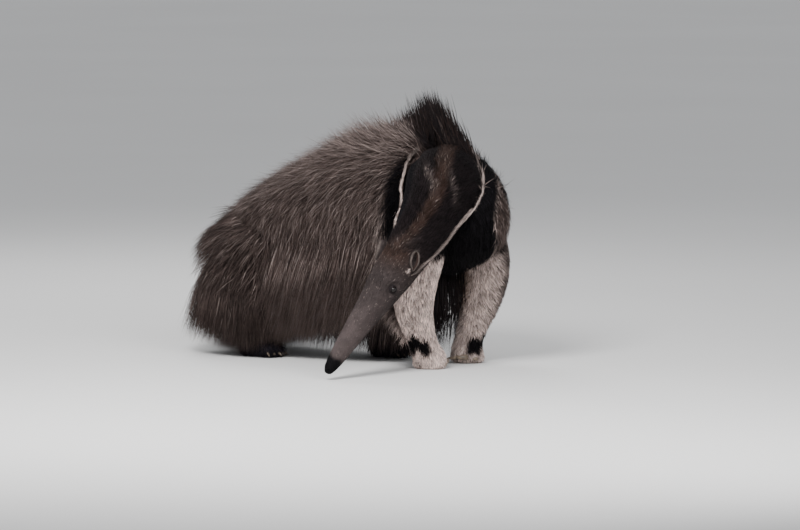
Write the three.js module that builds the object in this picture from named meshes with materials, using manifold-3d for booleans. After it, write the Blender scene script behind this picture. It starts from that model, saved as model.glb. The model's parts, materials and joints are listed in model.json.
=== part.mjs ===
// Giant anteater, life size, standing with its head swung down to its right.
// Millimetres. +X is the way the trunk faces, +Y the animal's left, +Z up, and the floor is Z = 0.
import * as THREE from "three";
import { mergeVertices } from "three/addons/utils/BufferGeometryUtils.js";
import Module from "manifold-3d";

const wasm = await Module();
wasm.setup();

const GAP = 0.36; // between pieces that meet face to face
const CORE_SHARE = 0.4; // how much of the coat's depth the core of a haired piece takes up
const WELD = 1e-4;
const SHORTEST_EDGE = 0.02;
const WORLD = 3000; // larger than the animal every way

// The rows of a tube run along its spine. Each row holds the centre (x, y, z), then the skin's half
// width, its reach up and its reach down, then how far the coat's tips stand off it at the sides,
// above and below. A leg's "up" is its front.
const TRUNK_ROWS = [
  [146, -14, 372, 30, 34, 34, 8, 8, 8],
  [116, -10, 376, 84, 92, 86, 14, 14, 16],
  [50, -4, 388, 112, 146, 126, 14, 30, 40],
  [-40, 0, 392, 122, 168, 138, 20, 58, 70],
  [-140, 0, 388, 128, 162, 142, 40, 70, 110],
  [-250, 0, 376, 134, 150, 136, 50, 88, 130],
  [-360, 0, 362, 134, 134, 126, 52, 68, 130],
  [-470, -2, 348, 128, 116, 110, 52, 46, 110],
  [-570, -6, 328, 112, 88, 96, 56, 42, 110],
  [-645, -8, 306, 84, 62, 84, 74, 40, 110],
  [-690, -8, 290, 30, 26, 34, 60, 34, 60],
];
const TRUNK_SIDES = 18;
const TRUNK_RINGS = 15;

// From the withers, down the neck to the head's right, and on along the head to the nose.
const NECK_ROWS = [
  [-40, 30, 425, 88, 84, 90, 10, 16, 10],
  [33, -62, 474, 92, 86, 106, 10, 34, 14],
  [60, -132, 424, 80, 75, 85, 9, 26, 14],
  [62, -188, 362, 67, 64, 68, 7, 14, 10],
  [52, -222, 318, 58, 55, 58, 5, 8, 6],
];
const HEAD_BACK = new THREE.Vector3(44, -240, 292);
const NOSE_TIP = new THREE.Vector3(-8, -476, 22);
const CROWN = new THREE.Vector3(0.103, -0.758, 0.644); // up from the head's back, square to its axis
// Each: distance from the head's back, then half width, rise and drop of the skin, then its sag.
const HEAD_ROWS = [
  [2, 54, 50, 54, 0],
  [45, 52, 49, 52, 0],
  [95, 45, 44, 48, 0],
  [150, 37, 36, 42, 0],
  [225, 29, 28, 33, 0],
  [295, 22, 22, 26, -1],
  [335, 17, 17, 20, -2],
  [356, 13, 12, 14, -3],
  [365, 8, 7, 8, -3],
];
const HEAD_COAT = 3;
const HEAD_SIDES = 16;
const HEAD_RINGS = 22;
const HEAD_JOIN = 4; // the row of the neck and head at which the head starts

const TAIL_ROWS = [
  [-590, 0, 345, 46, 46, 46, 16, 22, 60],
  [-670, 20, 330, 42, 40, 40, 22, 34, 120],
  [-745, 84, 300, 38, 36, 36, 40, 42, 180],
  [-820, 170, 268, 34, 32, 32, 60, 42, 205],
  [-895, 258, 230, 29, 28, 28, 72, 42, 204],
  [-965, 342, 190, 24, 24, 24, 80, 42, 168],
  [-1035, 422, 152, 19, 19, 19, 85, 40, 134],
  [-1100, 496, 118, 13, 13, 13, 80, 36, 106],
  [-1160, 566, 88, 8, 8, 8, 60, 30, 78],
];
const TAIL_SIDES = 10;
const TAIL_RINGS = 12;
const TAIL_SPLITS = [0, 0.36, 0.68, 1];

const FORELEG_ROWS = {
  left: [
    [-30, 78, 400, 52, 72, 68, 6, 6, 6],
    [0, 122, 310, 56, 64, 60, 10, 8, 18],
    [8, 138, 235, 50, 56, 54, 12, 8, 26],
    [5, 122, 160, 41, 47, 46, 8, 6, 20],
    [-6, 103, 100, 33, 37, 37, 6, 5, 12],
    [-13, 92, 60, 32, 35, 33, 6, 5, 8],
    [-17, 85, 26, 38, 48, 34, 4, 4, 4],
    [-17, 84, -12, 38, 50, 34, 4, 4, 4],
  ],
  right: [
    [-30, -78, 400, 52, 72, 68, 6, 6, 6],
    [4, -128, 310, 56, 64, 60, 10, 8, 18],
    [8, -150, 235, 50, 56, 54, 12, 8, 26],
    [2, -147, 160, 41, 47, 46, 8, 6, 20],
    [0, -124, 100, 33, 37, 37, 6, 5, 12],
    [0, -106, 60, 32, 35, 33, 6, 5, 8],
    [0, -90, 26, 38, 48, 34, 4, 4, 4],
    [0, -88, -12, 38, 50, 34, 4, 4, 4],
  ],
};
const HIND_LEG_ROWS = {
  left: [
    [-510, 55, 345, 46, 78, 82, 10, 6, 20],
    [-460, 84, 285, 54, 92, 92, 14, 8, 60],
    [-386, 84, 220, 48, 74, 76, 12, 8, 70],
    [-318, 76, 150, 38, 50, 54, 18, 8, 50],
    [-283, 66, 90, 30, 37, 42, 8, 6, 16],
    [-272, 62, 46, 30, 38, 40, 6, 5, 8],
    [-268, 61, 16, 33, 44, 40, 5, 5, 6],
    [-266, 61, -12, 33, 44, 40, 5, 5, 6],
  ],
  right: [
    [-565, -62, 350, 46, 84, 84, 10, 6, 20],
    [-580, -106, 290, 62, 104, 100, 46, 10, 76],
    [-572, -128, 220, 58, 92, 98, 50, 14, 96],
    [-546, -137, 150, 40, 62, 64, 42, 14, 96],
    [-536, -143, 90, 32, 40, 48, 20, 8, 60],
    [-535, -143, 46, 31, 38, 40, 8, 5, 14],
    [-536, -143, 16, 33, 44, 40, 5, 5, 8],
    [-535, -143, -12, 33, 44, 40, 5, 5, 8],
  ],
};
const LEG_SIDES = 10;
const LEG_RINGS = 10;
const FOOT_RINGS = 6;
// A hind sole, from heel to toes, about its own centre.
const HIND_FOOT_CENTRE = { left: [-266, 61], right: [-535, -143] };
const HIND_FOOT_ROWS = [
  [-48, 0, 20, 14, 12, 14, 2, 2, 2],
  [-34, 0, 26, 25, 20, 30, 3, 3, 3],
  [6, 0, 28, 35, 26, 34, 4, 4, 4],
  [48, 0, 22, 38, 19, 28, 4, 3, 3],
  [68, 0, 16, 31, 12, 20, 3, 3, 3],
  [76, 0, 13, 14, 6, 10, 2, 2, 2],
];
const FOREFOOT_CENTRE = { left: [-17, 84], right: [0, -88] };

// Claws: the forefoot's curl in under it, the second and third much the largest.
const FORE_CLAWS = [
  { length: 38, root: 5.5, forward: -16, inward: 29, height: 12 },
  { length: 66, root: 8, forward: 6, inward: 29, height: 14 },
  { length: 78, root: 9.5, forward: 28, inward: 23, height: 16 },
  { length: 36, root: 6, forward: 46, inward: 8, height: 12 },
];
const HIND_CLAW_LENGTH = 24;
const HIND_CLAW_ROOT = 5;
const HIND_CLAW_SPREAD = 14;
const HIND_CLAW_COUNT = 5;
const CLAW_SIDES = 6;

// On the head: how far to the side, up and forward of the head's back.
const EYE_PLACE = [39.5, 11.5, 95];
const EYE_RADIUS = 9;
const LID_STRETCH = [1.22, 0.8, 0.9]; // along the head, up it, and out of it
const LID_RING = 9.4;
const LID_THICKNESS = 2.6;
const EAR_PLACE = [57, 24, 8];
const EAR_OUT = [0.81, 0.53, 0.255];
const EAR_LONG = [0.006, 0.434, -0.901];
const EAR_OUTER = [15.5, 28, 13];
const EAR_INNER = [12, 24, 12];
const EAR_HOLLOW = 6;
const MOUTH_LENGTH = 34;
const MOUTH_START = 0.82; // where along the neck and head the jaws are wide enough to hold it
const MOUTH_DROP = 6;
const MOUTH_WIDTH = 1.6;
const MOUTH_DEPTH = 3;
const LIP_HEIGHT = 8;
const LIP_SWELL = 1.2;
const NOSTRIL_PLACE = [6, 2, 361];
const NOSTRIL_SIZE = [2.6, 3.4, 6];

const UP = new THREE.Vector3(0, 0, 1);
const FRONT = new THREE.Vector3(1, 0, 0);

// A lock is a flat blade: how wide and thick it is at each step from its root to its tip.
const LOCK_STEPS = [0, 0.36, 0.7];
const LOCK_TAPER = [0.75, 1, 0.62];
const LOCK_THICKNESS = 8;
const LOCK_SINK = 16; // how far a root lies under the core's surface
const STRAY = 0.16; // how much one lock may differ from the next
const HEM_STRAY = 24;
const HANG_STAGGER = 0.12; // share of the coat's depth between neighbours that hang side by side

// Rows of locks that lie along the trunk, from the ridge down to the flank.
const BACK_ROWS = 3;
const BACK_FIRST_TURN = 0.026;
const BACK_ROW_TURN = 0.06;
const BACK_COUNT = 8;
const BACK_LENGTH = [128, 160];
const BACK_WIDTH = 86;
const TRUNK_GIRTH = 1080;
const BACK_LIE = [0.3, 1.15]; // radians down from straight back, at the ridge and on the flank

// Rows that hang straight down, each with the height of its hem at its first and last lock.
const TRUNK_FRINGE = [
  { turn: 0.2, from: 0.18, to: 0.96, count: 7, width: 98, hem: [235, 150], reach: 1 },
  { turn: 0.27, from: 0.22, to: 0.86, count: 6, width: 100, hem: [155, 80], reach: 0.8 },
  { turn: 0.33, from: 0.24, to: 0.82, count: 6, width: 100, hem: [112, 34], reach: 0.6 },
  { turn: 0.5, from: 0.1, to: 0.4, count: 3, width: 96, hem: [180, 150], reach: 1 },
];
const TRUNK_SWEEP = 0.14;
const HAUNCH_START = 0.66; // behind this the right haunch carries the lower fringe
const TAIL_FRINGE = [
  { turn: 0.15, count: 3, width: 90, hem: [30, 12], reach: 1 },
  { turn: 0.27, count: 2, width: 96, hem: [10, -8], reach: 0.6 },
];
const TAIL_SWEEP = 0.5;
const TAIL_LOCKS = 3;
const TRAIL_COUNT = 4;
const TRAIL_FROM = 0.9;
const TRAIL_LENGTH = 230;
const TRAIL_SPREAD = 190;
const TRAIL_TIP = 12;
const TAIL_LOCKS_FROM = 0.18;
const TAIL_LOCKS_TO = 0.96;
const TAIL_WIDTH = 84;
const TAIL_RIDGE_TURN = 0.03;
const TAIL_RIDGE_RUN = 0.16;
const ELBOW_FRINGE = [
  { turn: 0.47, from: 0.24, to: 0.6, count: 3, width: 50, hem: [170, 60], reach: 2.4 },
  { turn: 0.36, from: 0.26, to: 0.4, count: 1, width: 54, hem: [140, 140], reach: 3 },
];
const HAUNCH_FRINGE = {
  left: [
    { turn: 0.5, from: 0.3, to: 0.62, count: 3, width: 60, hem: [130, 60], reach: 1 },
  ],
  right: [
    { turn: 0.16, from: 0.17, to: 0.17, count: 1, width: 92, hem: [110, 110], reach: 1 },
    { turn: 0.26, from: 0.17, to: 0.17, count: 1, width: 92, hem: [105, 105], reach: 1.05 },
    { turn: 0.35, from: 0.17, to: 0.17, count: 1, width: 92, hem: [80, 80], reach: 1.15 },
    { turn: 0.44, from: 0.17, to: 0.17, count: 1, width: 92, hem: [110, 110], reach: 0.9 },
    { turn: 0.21, from: 0.36, to: 0.36, count: 1, width: 88, hem: [35, 35], reach: 0.8 },
    { turn: 0.33, from: 0.36, to: 0.36, count: 1, width: 88, hem: [20, 20], reach: 0.95 },
    { turn: 0.45, from: 0.36, to: 0.36, count: 1, width: 88, hem: [30, 30], reach: 0.9 },
  ],
};

// The neck's crest, from the withers towards the head.
const MANE_COUNT = 5;
const MANE_REACH = [0.12, 0.31];
const MANE_TURN = 0.02;
const MANE_RUN = 0.09;
const MANE_WIDTH = 52;
// The tuft that stands up at the withers.
const TUFT_COUNT = 8;
const TUFT_HEIGHT = 142;
const TUFT_WIDTH = 54;
const TUFT_AT = 0.292;
const TUFT_LENGTH = 0.1;
const TUFT_TURN = 0.02;
const TUFT_LEAN = 0.2;
const TUFT_CURL = 26;

const COAT_COLOUR = 0x5d534c;
const SNOUT_COLOUR = 0x77706a;
const LEG_COLOUR = 0xb8aa97;
const HIND_COLOUR = 0x2b2a2d;
const CLAW_COLOUR = 0x5a5045;
const EYE_COLOUR = 0x14100e;

// A smooth value between two rows' values, with the rows before and after them.
function between(before, from, to, after, t) {
  const bend = 2 * before - 5 * from + 4 * to - after;
  const swing = 3 * (from - to) + after - before;
  return from + 0.5 * t * (to - before + t * (bend + t * swing));
}

// A tube with an egg-shaped section round a spine, and a lie of hair over it.
class Tube {
  constructor(rows, upOf, sides, rings) {
    this.rows = rows;
    this.upOf = upOf;
    this.sides = sides;
    this.rings = rings;
    const spots = rows.map((row) => new THREE.Vector3(...row.slice(0, 3)));
    this.length = spots.slice(1).reduce((sum, spot, i) => sum + spot.distanceTo(spots[i]), 0);
    this.standing = upOf(0) === FRONT;
  }
  row(s) {
    const last = this.rows.length - 1;
    const place = THREE.MathUtils.clamp(s, 0, 1) * last;
    const i = Math.min(Math.floor(place), last - 1);
    const near = [-1, 0, 1, 2].map((k) => this.rows[THREE.MathUtils.clamp(i + k, 0, last)]);
    return near[1].map((_, column) => between(...near.map((r) => r[column]), place - i));
  }
  // The spine's centre, its forward way along the rows, and the section's up and side there.
  frame(s) {
    const step = 0.004;
    const centre = new THREE.Vector3(...this.row(s).slice(0, 3));
    const ahead = new THREE.Vector3(...this.row(Math.min(s + step, 1)).slice(0, 3));
    const behind = new THREE.Vector3(...this.row(Math.max(s - step, 0)).slice(0, 3));
    const along = ahead.sub(behind).normalize();
    const up = this.upOf(s).clone();
    up.addScaledVector(along, -up.dot(along)).normalize();
    const side = new THREE.Vector3().crossVectors(along, up);
    return { centre, along, up, side };
  }
  // A point of the surface: turn 0 is the ridge, a quarter turn one side, a half turn below.
  point(s, turn, coatShare, grow = 0) {
    const { centre, up, side } = this.frame(s);
    const [, , , width, rise, drop, coatSide, coatUp, coatDown] = this.row(s);
    const angle = turn * 2 * Math.PI;
    const reachUp = Math.cos(angle) > 0 ? rise + coatShare * coatUp : drop + coatShare * coatDown;
    const reachSide = width + coatShare * coatSide;
    return centre
      .addScaledVector(side, Math.sin(angle) * (reachSide + grow))
      .addScaledVector(up, Math.cos(angle) * (reachUp + grow));
  }
  geometry(coatShare, grow = 0, from = 0, to = 1) {
    const rings = Math.max(2, Math.round(this.rings * (to - from)));
    const points = [];
    for (let r = 0; r <= rings; r++) {
      const s = from + ((to - from) * r) / rings;
      const push = r === 0 ? -grow : r === rings ? grow : 0;
      const shift = this.frame(s).along.multiplyScalar(push);
      for (let k = 0; k < this.sides; k++) {
        points.push(this.point(s, k / this.sides, coatShare, grow).add(shift));
      }
    }
    return closedTube(points, this.sides, rings);
  }
}

// Rings of points, joined by triangles and closed by a fan at each end.
function closedTube(points, sides, bands) {
  const faces = [];
  const last = bands * sides;
  for (let r = 0; r < bands; r++) {
    for (let k = 0; k < sides; k++) {
      const a = r * sides + k;
      const b = r * sides + ((k + 1) % sides);
      faces.push(a, b, a + sides, b, b + sides, a + sides);
    }
  }
  for (let k = 1; k < sides - 1; k++) {
    faces.push(0, k + 1, k);
    faces.push(last, last + k, last + k + 1);
  }
  const geometry = new THREE.BufferGeometry().setFromPoints(points);
  geometry.setIndex(faces);
  return geometry;
}

// The surface's outward way at a point of a tube.
function outward(tube, s, turn) {
  const step = 0.01;
  const round = tube.point(s, turn + step, 1).sub(tube.point(s, turn - step, 1));
  const along = tube.point(Math.min(s + step, 1), turn, 1).sub(tube.point(Math.max(s - step, 0), turn, 1));
  const out = round.cross(along).normalize();
  const away = tube.point(s, turn, 1).sub(tube.frame(s).centre);
  return out.dot(away) < 0 ? out.negate() : out;
}

// The same run of draws each time.
let seed = 20231;
function draw() {
  seed = (seed * 16807) % 2147483647;
  return seed / 2147483647;
}
const vary = () => 1 + STRAY * (2 * draw() - 1);

// A flat lock through points, with the ways its face looks, that tapers to the last point.
function blade(spots, faces, width, thickness) {
  const points = [];
  const ends = spots.length - 1;
  for (let i = 0; i < ends; i++) {
    const way = spots[i + 1].clone().sub(spots[Math.max(i - 1, 0)]).normalize();
    const across = new THREE.Vector3().crossVectors(way, faces[i]).normalize();
    const face = new THREE.Vector3().crossVectors(across, way);
    const half = (width * LOCK_TAPER[i]) / 2;
    const thick = (thickness * LOCK_TAPER[i]) / 2;
    points.push(spots[i].clone().addScaledVector(across, -half));
    points.push(spots[i].clone().addScaledVector(face, thick));
    points.push(spots[i].clone().addScaledVector(across, half));
    points.push(spots[i].clone().addScaledVector(face, -thick));
  }
  points.push(spots[ends]);
  const tip = points.length - 1;
  const triangles = [0, 2, 1, 0, 3, 2];
  for (let i = 0; i < ends; i++) {
    for (let k = 0; k < 4; k++) {
      const a = 4 * i + k;
      const b = 4 * i + ((k + 1) % 4);
      const last = i === ends - 1;
      // The split of each face runs from a ridge to an edge, alike on both sides.
      if (last) triangles.push(a, b, tip);
      else if (k % 2 === 0) triangles.push(a, b, a + 4, b, b + 4, a + 4);
      else triangles.push(a, b, b + 4, a, b + 4, a + 4);
    }
  }
  const geometry = new THREE.BufferGeometry().setFromPoints(points);
  geometry.setIndex(triangles);
  return geometry;
}

// A lock that lies on a tube's coat, from under the core out to the coat's tips.
function lyingLock(tube, s, turn, runBack, runDown, reach, width) {
  const spots = [];
  const faces = [];
  for (const t of [...LOCK_STEPS, 1]) {
    const here = s + runBack * t;
    const round = turn + runDown * t;
    const share = CORE_SHARE + (reach - CORE_SHARE) * t;
    const over = Math.max(0, here - 1) * tube.length;
    const spot = tube.point(here, round, share, -LOCK_SINK * (1 - t));
    spots.push(spot.addScaledVector(tube.frame(here).along, over));
    faces.push(outward(tube, Math.min(here, 0.98), round));
  }
  return { spots, faces, width };
}

// A lock that leaves a tube outwards, then hangs down to its hem. Its reach is a share of the coat's
// depth, measured at the side of a tube that lies level, so that a lock rooted higher hangs outside
// those rooted lower. Its sweep takes its tip along the tube by a share of its fall.
function hangingLock(tube, s, turn, hem, reach, width, sweep) {
  const root = tube.point(s, turn, CORE_SHARE, -LOCK_SINK);
  const edge = tube.point(s, tube.standing ? turn : 0.25 * Math.sign(turn), reach);
  const face = outward(tube, s, turn).setZ(0).normalize();
  const out = Math.max(LOCK_SINK, edge.sub(root).dot(face));
  const spots = [];
  const faces = [];
  const back = tube.frame(s).along.setZ(0).normalize();
  for (const t of [...LOCK_STEPS, 1]) {
    const spot = root.clone().addScaledVector(face, out * t * (2 - t));
    spot.addScaledVector(back, sweep * (root.z - hem) * t * t);
    spot.z += (hem - root.z) * t;
    spots.push(spot);
    faces.push(face);
  }
  return { spots, faces, width };
}

// Rows of hanging locks, spread evenly between two places along one side of a tube.
function fringe(tube, rows, side, sweep, until = 1) {
  const locks = [];
  for (const { turn, from, to, count, width, hem, reach } of rows) {
    for (let i = 0; i < count; i++) {
      const part = (i + 0.5) / count;
      const s = THREE.MathUtils.lerp(from, to, part);
      const height = THREE.MathUtils.lerp(...hem, part) + HEM_STRAY * (draw() - 0.5);
      const depth = reach - HANG_STAGGER * (i % 2);
      if (s > until) continue;
      locks.push(hangingLock(tube, s, side * turn, height, depth, width * vary(), sweep * vary()));
    }
  }
  return locks;
}

// A closed geometry as a solid that can be joined and cut.
function solid(geometry) {
  const bare = geometry.clone();
  bare.deleteAttribute("normal");
  bare.deleteAttribute("uv");
  const merged = mergeVertices(bare, WELD);
  const made = new wasm.Manifold(
    new wasm.Mesh({
      numProp: 3,
      vertProperties: merged.attributes.position.array,
      triVerts: new Uint32Array(merged.index.array),
    }),
  );
  if (made.volume() > 0) return made;
  const turned = Uint32Array.from(merged.index.array);
  for (let i = 0; i < turned.length; i += 3) {
    [turned[i + 1], turned[i + 2]] = [turned[i + 2], turned[i + 1]];
  }
  return new wasm.Manifold(
    new wasm.Mesh({
      numProp: 3,
      vertProperties: merged.attributes.position.array,
      triVerts: turned,
    }),
  );
}

const joined = (solids) => solids.reduce((all, one) => all.add(one));

// The largest closed surface of a solid, with no scraps and no sealed hollows.
function largest(whole) {
  const bodies = whole.decompose();
  bodies.sort((a, b) => b.volume() - a.volume());
  return bodies[0];
}

// The surface of a solid with its shortest edges closed up and the flat faces that leaves dropped.
function cleanGeometry(whole) {
  const mesh = whole.getMesh();
  const raw = new THREE.BufferGeometry();
  raw.setAttribute("position", new THREE.BufferAttribute(mesh.vertProperties, 3));
  raw.setIndex(new THREE.BufferAttribute(mesh.triVerts, 1));
  const merged = mergeVertices(raw, SHORTEST_EDGE);
  const index = merged.index.array;
  const kept = new Map();
  for (let i = 0; i < index.length; i += 3) {
    const corners = [index[i], index[i + 1], index[i + 2]];
    if (new Set(corners).size < 3) continue;
    const key = [...corners].sort((a, b) => a - b).join();
    if (kept.has(key)) kept.delete(key);
    else kept.set(key, corners);
  }
  merged.setIndex([...kept.values()].flat());
  return merged;
}

const floor = solid(new THREE.BoxGeometry(WORLD, WORLD, WORLD).translate(0, 0, -WORLD / 2));

// The head's rows carry on the neck's, placed along the head's axis.
const headWay = NOSE_TIP.clone().sub(HEAD_BACK).normalize();
const headRows = HEAD_ROWS.map(([distance, width, rise, drop, sag]) => {
  const centre = HEAD_BACK.clone().addScaledVector(headWay, distance).addScaledVector(CROWN, sag);
  return [...centre.toArray(), width, rise, drop, HEAD_COAT, HEAD_COAT, HEAD_COAT];
});
const neckAndHeadRows = [...NECK_ROWS, ...headRows];
const headStart = (HEAD_JOIN + 0.6) / (neckAndHeadRows.length - 1);
const neckUp = (s) => UP.clone().lerp(CROWN, THREE.MathUtils.smoothstep(s, 0, headStart)).normalize();

const trunk = new Tube(TRUNK_ROWS, () => UP, TRUNK_SIDES, TRUNK_RINGS);
const neckAndHead = new Tube(neckAndHeadRows, neckUp, HEAD_SIDES, HEAD_RINGS);
const tail = new Tube(TAIL_ROWS, () => UP, TAIL_SIDES, TAIL_RINGS);

// A place on the head, or a way there, in its own left, up and forward.
const headLeft = new THREE.Vector3().crossVectors(CROWN, headWay);
const headTurn = ([left, up, forward], mirror) =>
  new THREE.Vector3()
    .addScaledVector(headLeft, left * mirror)
    .addScaledVector(CROWN, up)
    .addScaledVector(headWay, forward);
const headSpot = (place, mirror) => headTurn(place, mirror).add(HEAD_BACK);

// A shape whose X, Y and Z are turned to three square ways and moved to a place.
function placed(geometry, x, y, place) {
  const z = new THREE.Vector3().crossVectors(x, y).normalize();
  const squareY = new THREE.Vector3().crossVectors(z, x).normalize();
  const turn = new THREE.Matrix4().makeBasis(x.clone().normalize(), squareY, z);
  return geometry.clone().applyMatrix4(turn.setPosition(place));
}

const ball = (radii) => new THREE.SphereGeometry(1, 10, 7).scale(...radii);
const larger = (radii, by) => radii.map((radius) => radius + by);

// Lids, the slit of the mouth with its lips, and the nostrils.
function finishHead(core, grow) {
  let head = core;
  for (const mirror of [1, -1]) {
    const eye = headSpot(EYE_PLACE, mirror);
    const out = headTurn([0.96, 0.28, 0], mirror);
    const ring = new THREE.TorusGeometry(LID_RING, LID_THICKNESS + grow, 5, 12).scale(...LID_STRETCH);
    const lidPlace = eye.clone().addScaledVector(out, LID_THICKNESS);
    const ringUp = new THREE.Vector3().crossVectors(out, headWay);
    head = head.add(solid(placed(ring, headWay, ringUp, lidPlace)));
    const socket = ball(larger([EYE_RADIUS, EYE_RADIUS, EYE_RADIUS], GAP));
    if (grow === 0) head = head.subtract(solid(placed(socket, headWay, ringUp, eye)));
  }
  const lipPlace = headSpot([0, -MOUTH_DROP, HEAD_ROWS.at(-1)[0]], 1);
  const slab = (thick) => solid(placed(
    new THREE.BoxGeometry(2 * MOUTH_LENGTH, thick, 2 * MOUTH_LENGTH), headWay, CROWN, lipPlace,
  ));
  const jaw = (swell) => solid(neckAndHead.geometry(1, swell, MOUTH_START, 1));
  head = head.add(slab(LIP_HEIGHT).intersect(jaw(LIP_SWELL + grow)));
  if (grow > 0) return head;
  head = head.subtract(slab(MOUTH_WIDTH).subtract(jaw(-MOUTH_DEPTH)));
  for (const mirror of [1, -1]) {
    const pit = placed(ball(NOSTRIL_SIZE), headLeft, CROWN, headSpot(NOSTRIL_PLACE, mirror));
    head = head.subtract(solid(pit));
  }
  return head;
}

// The cup of an ear, hollow on the side that faces out and forward.
function ear(mirror, grow) {
  const out = headTurn(EAR_OUT, mirror);
  const long = headTurn(EAR_LONG, mirror);
  const across = new THREE.Vector3().crossVectors(long, out);
  const place = headSpot(EAR_PLACE, mirror);
  const cup = solid(placed(ball(larger(EAR_OUTER, grow)), across, long, place));
  if (grow > 0) return cup;
  const hollow = placed(ball(EAR_INNER), across, long, place.clone().addScaledVector(out, EAR_HOLLOW));
  return cup.subtract(solid(hollow));
}

// A tapering claw bent from one way towards another.
function claw(root, way, endWay, length, radius, grow) {
  const steps = 4;
  const rows = [];
  for (let i = 0; i <= steps; i++) {
    const t = i / steps;
    const spot = root.clone();
    spot.addScaledVector(way, length * (t - (t * t) / 2));
    spot.addScaledVector(endWay, (length * t * t) / 2);
    const thick = radius * (1 - 0.9 * t * t);
    rows.push([...spot.toArray(), 0.75 * thick, thick, thick, 0, 0, 0]);
  }
  return solid(new Tube(rows, () => UP, CLAW_SIDES, 3).geometry(0, grow));
}

const pieces = [];
const addPiece = (name, colour, core, grown, locks = []) =>
  pieces.push({ name, colour, core, grown, locks });
const addTube = (name, colour, tube, from, to, locks) =>
  addPiece(
    name,
    colour,
    solid(tube.geometry(CORE_SHARE, 0, from, to)),
    solid(tube.geometry(CORE_SHARE, GAP, from, to)),
    locks,
  );

// The coat of the trunk: rows that lie back and down, a hanging fringe, and the tuft at the withers.
function trunkLocks() {
  const locks = fringe(trunk, TRUNK_FRINGE, 1, TRUNK_SWEEP);
  locks.push(...fringe(trunk, TRUNK_FRINGE.slice(0, 3), -1, TRUNK_SWEEP, HAUNCH_START));
  for (let row = 0; row < BACK_ROWS; row++) {
    const part = row / (BACK_ROWS - 1);
    const lie = THREE.MathUtils.lerp(...BACK_LIE, Math.sqrt(part));
    for (const side of [1, -1]) {
      for (let i = 0; i < BACK_COUNT; i++) {
        const s = 0.2 + (0.78 * (i + 0.5 * (row % 2))) / BACK_COUNT;
        const turn = BACK_FIRST_TURN + BACK_ROW_TURN * row;
        const length = THREE.MathUtils.lerp(...BACK_LENGTH, part) * vary() * (s < 0.28 ? 0.7 : 1);
        const runBack = (length * Math.cos(lie) * vary()) / trunk.length;
        const runDown = (side * length * Math.sin(lie)) / TRUNK_GIRTH;
        const width = BACK_WIDTH * vary();
        locks.push(lyingLock(trunk, s, side * turn, runBack, runDown, 1.05 * vary(), width));
      }
    }
  }
  for (let i = 0; i < TUFT_COUNT; i++) {
    const part = i / (TUFT_COUNT - 1) - 0.5;
    const turn = TUFT_TURN * ((i % 3) - 1);
    const root = trunk.point(TUFT_AT + TUFT_LENGTH * part, turn, CORE_SHARE, -LOCK_SINK);
    const lean = new THREE.Vector3(-TUFT_LEAN * part, TUFT_LEAN * 3 * turn, 1).normalize();
    const height = TUFT_HEIGHT * (1 - 0.8 * Math.abs(part)) * vary();
    const face = new THREE.Vector3(0.5 * (draw() - 0.5), 1, 0);
    const spots = [...LOCK_STEPS, 1].map((t) => {
      const spot = root.clone().addScaledVector(lean, height * t);
      return spot.add(new THREE.Vector3(-TUFT_CURL * t * t, 0, 0));
    });
    locks.push({ spots, faces: spots.map(() => face), width: TUFT_WIDTH });
  }
  return locks;
}

// Short locks over the neck's crest and under its throat, lying back from the head.
function neckLocks() {
  const locks = [];
  for (let i = 0; i < MANE_COUNT; i++) {
    const s = THREE.MathUtils.lerp(...MANE_REACH, (i + 0.5) / MANE_COUNT);
    const turn = i % 2 ? MANE_TURN : -MANE_TURN;
    locks.push(lyingLock(neckAndHead, s, turn, -MANE_RUN * vary(), 0, 1.2 * vary(), MANE_WIDTH));
  }
  return locks;
}

// The long hair that trails past the end of the tail.
function trailingLocks() {
  const locks = [];
  const along = tail.frame(1).along.setZ(0).normalize();
  const across = new THREE.Vector3().crossVectors(along, UP);
  for (let i = 0; i < TRAIL_COUNT; i++) {
    const aside = i / (TRAIL_COUNT - 1) - 0.5;
    const root = tail.point(TRAIL_FROM, 0.5 * aside, 0, -2);
    const length = TRAIL_LENGTH * (1 - 0.5 * Math.abs(aside)) * vary();
    const spots = [...LOCK_STEPS, 1].map((t) => {
      const spot = root.clone().addScaledVector(along, length * t);
      spot.addScaledVector(across, TRAIL_SPREAD * aside * t);
      spot.z = THREE.MathUtils.lerp(root.z, TRAIL_TIP, t * (0.6 + 0.4 * t));
      return spot;
    });
    const face = UP.clone().addScaledVector(across, 1.6 * aside);
    locks.push({ spots, faces: spots.map(() => face), width: TAIL_WIDTH });
  }
  return locks;
}

// The tail's plume between two places on it: a ridge that falls aside, and sides that reach the floor.
function tailLocks(from, to) {
  const rows = TAIL_FRINGE.map((row) => ({ ...row, from, to }));
  const locks = [];
  for (const side of [1, -1]) locks.push(...fringe(tail, rows, side, TAIL_SWEEP));
  for (let i = 0; i < TAIL_LOCKS; i++) {
    const s = THREE.MathUtils.lerp(from, to, (i + 0.5) / TAIL_LOCKS);
    const aside = i % 2 ? -TAIL_RIDGE_TURN : TAIL_RIDGE_TURN;
    locks.push(lyingLock(tail, s, aside, TAIL_RIDGE_RUN * vary(), 2 * aside, 1.1 * vary(), TAIL_WIDTH));
  }
  if (to > TAIL_SPLITS[2]) locks.push(...trailingLocks());
  return locks;
}

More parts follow.
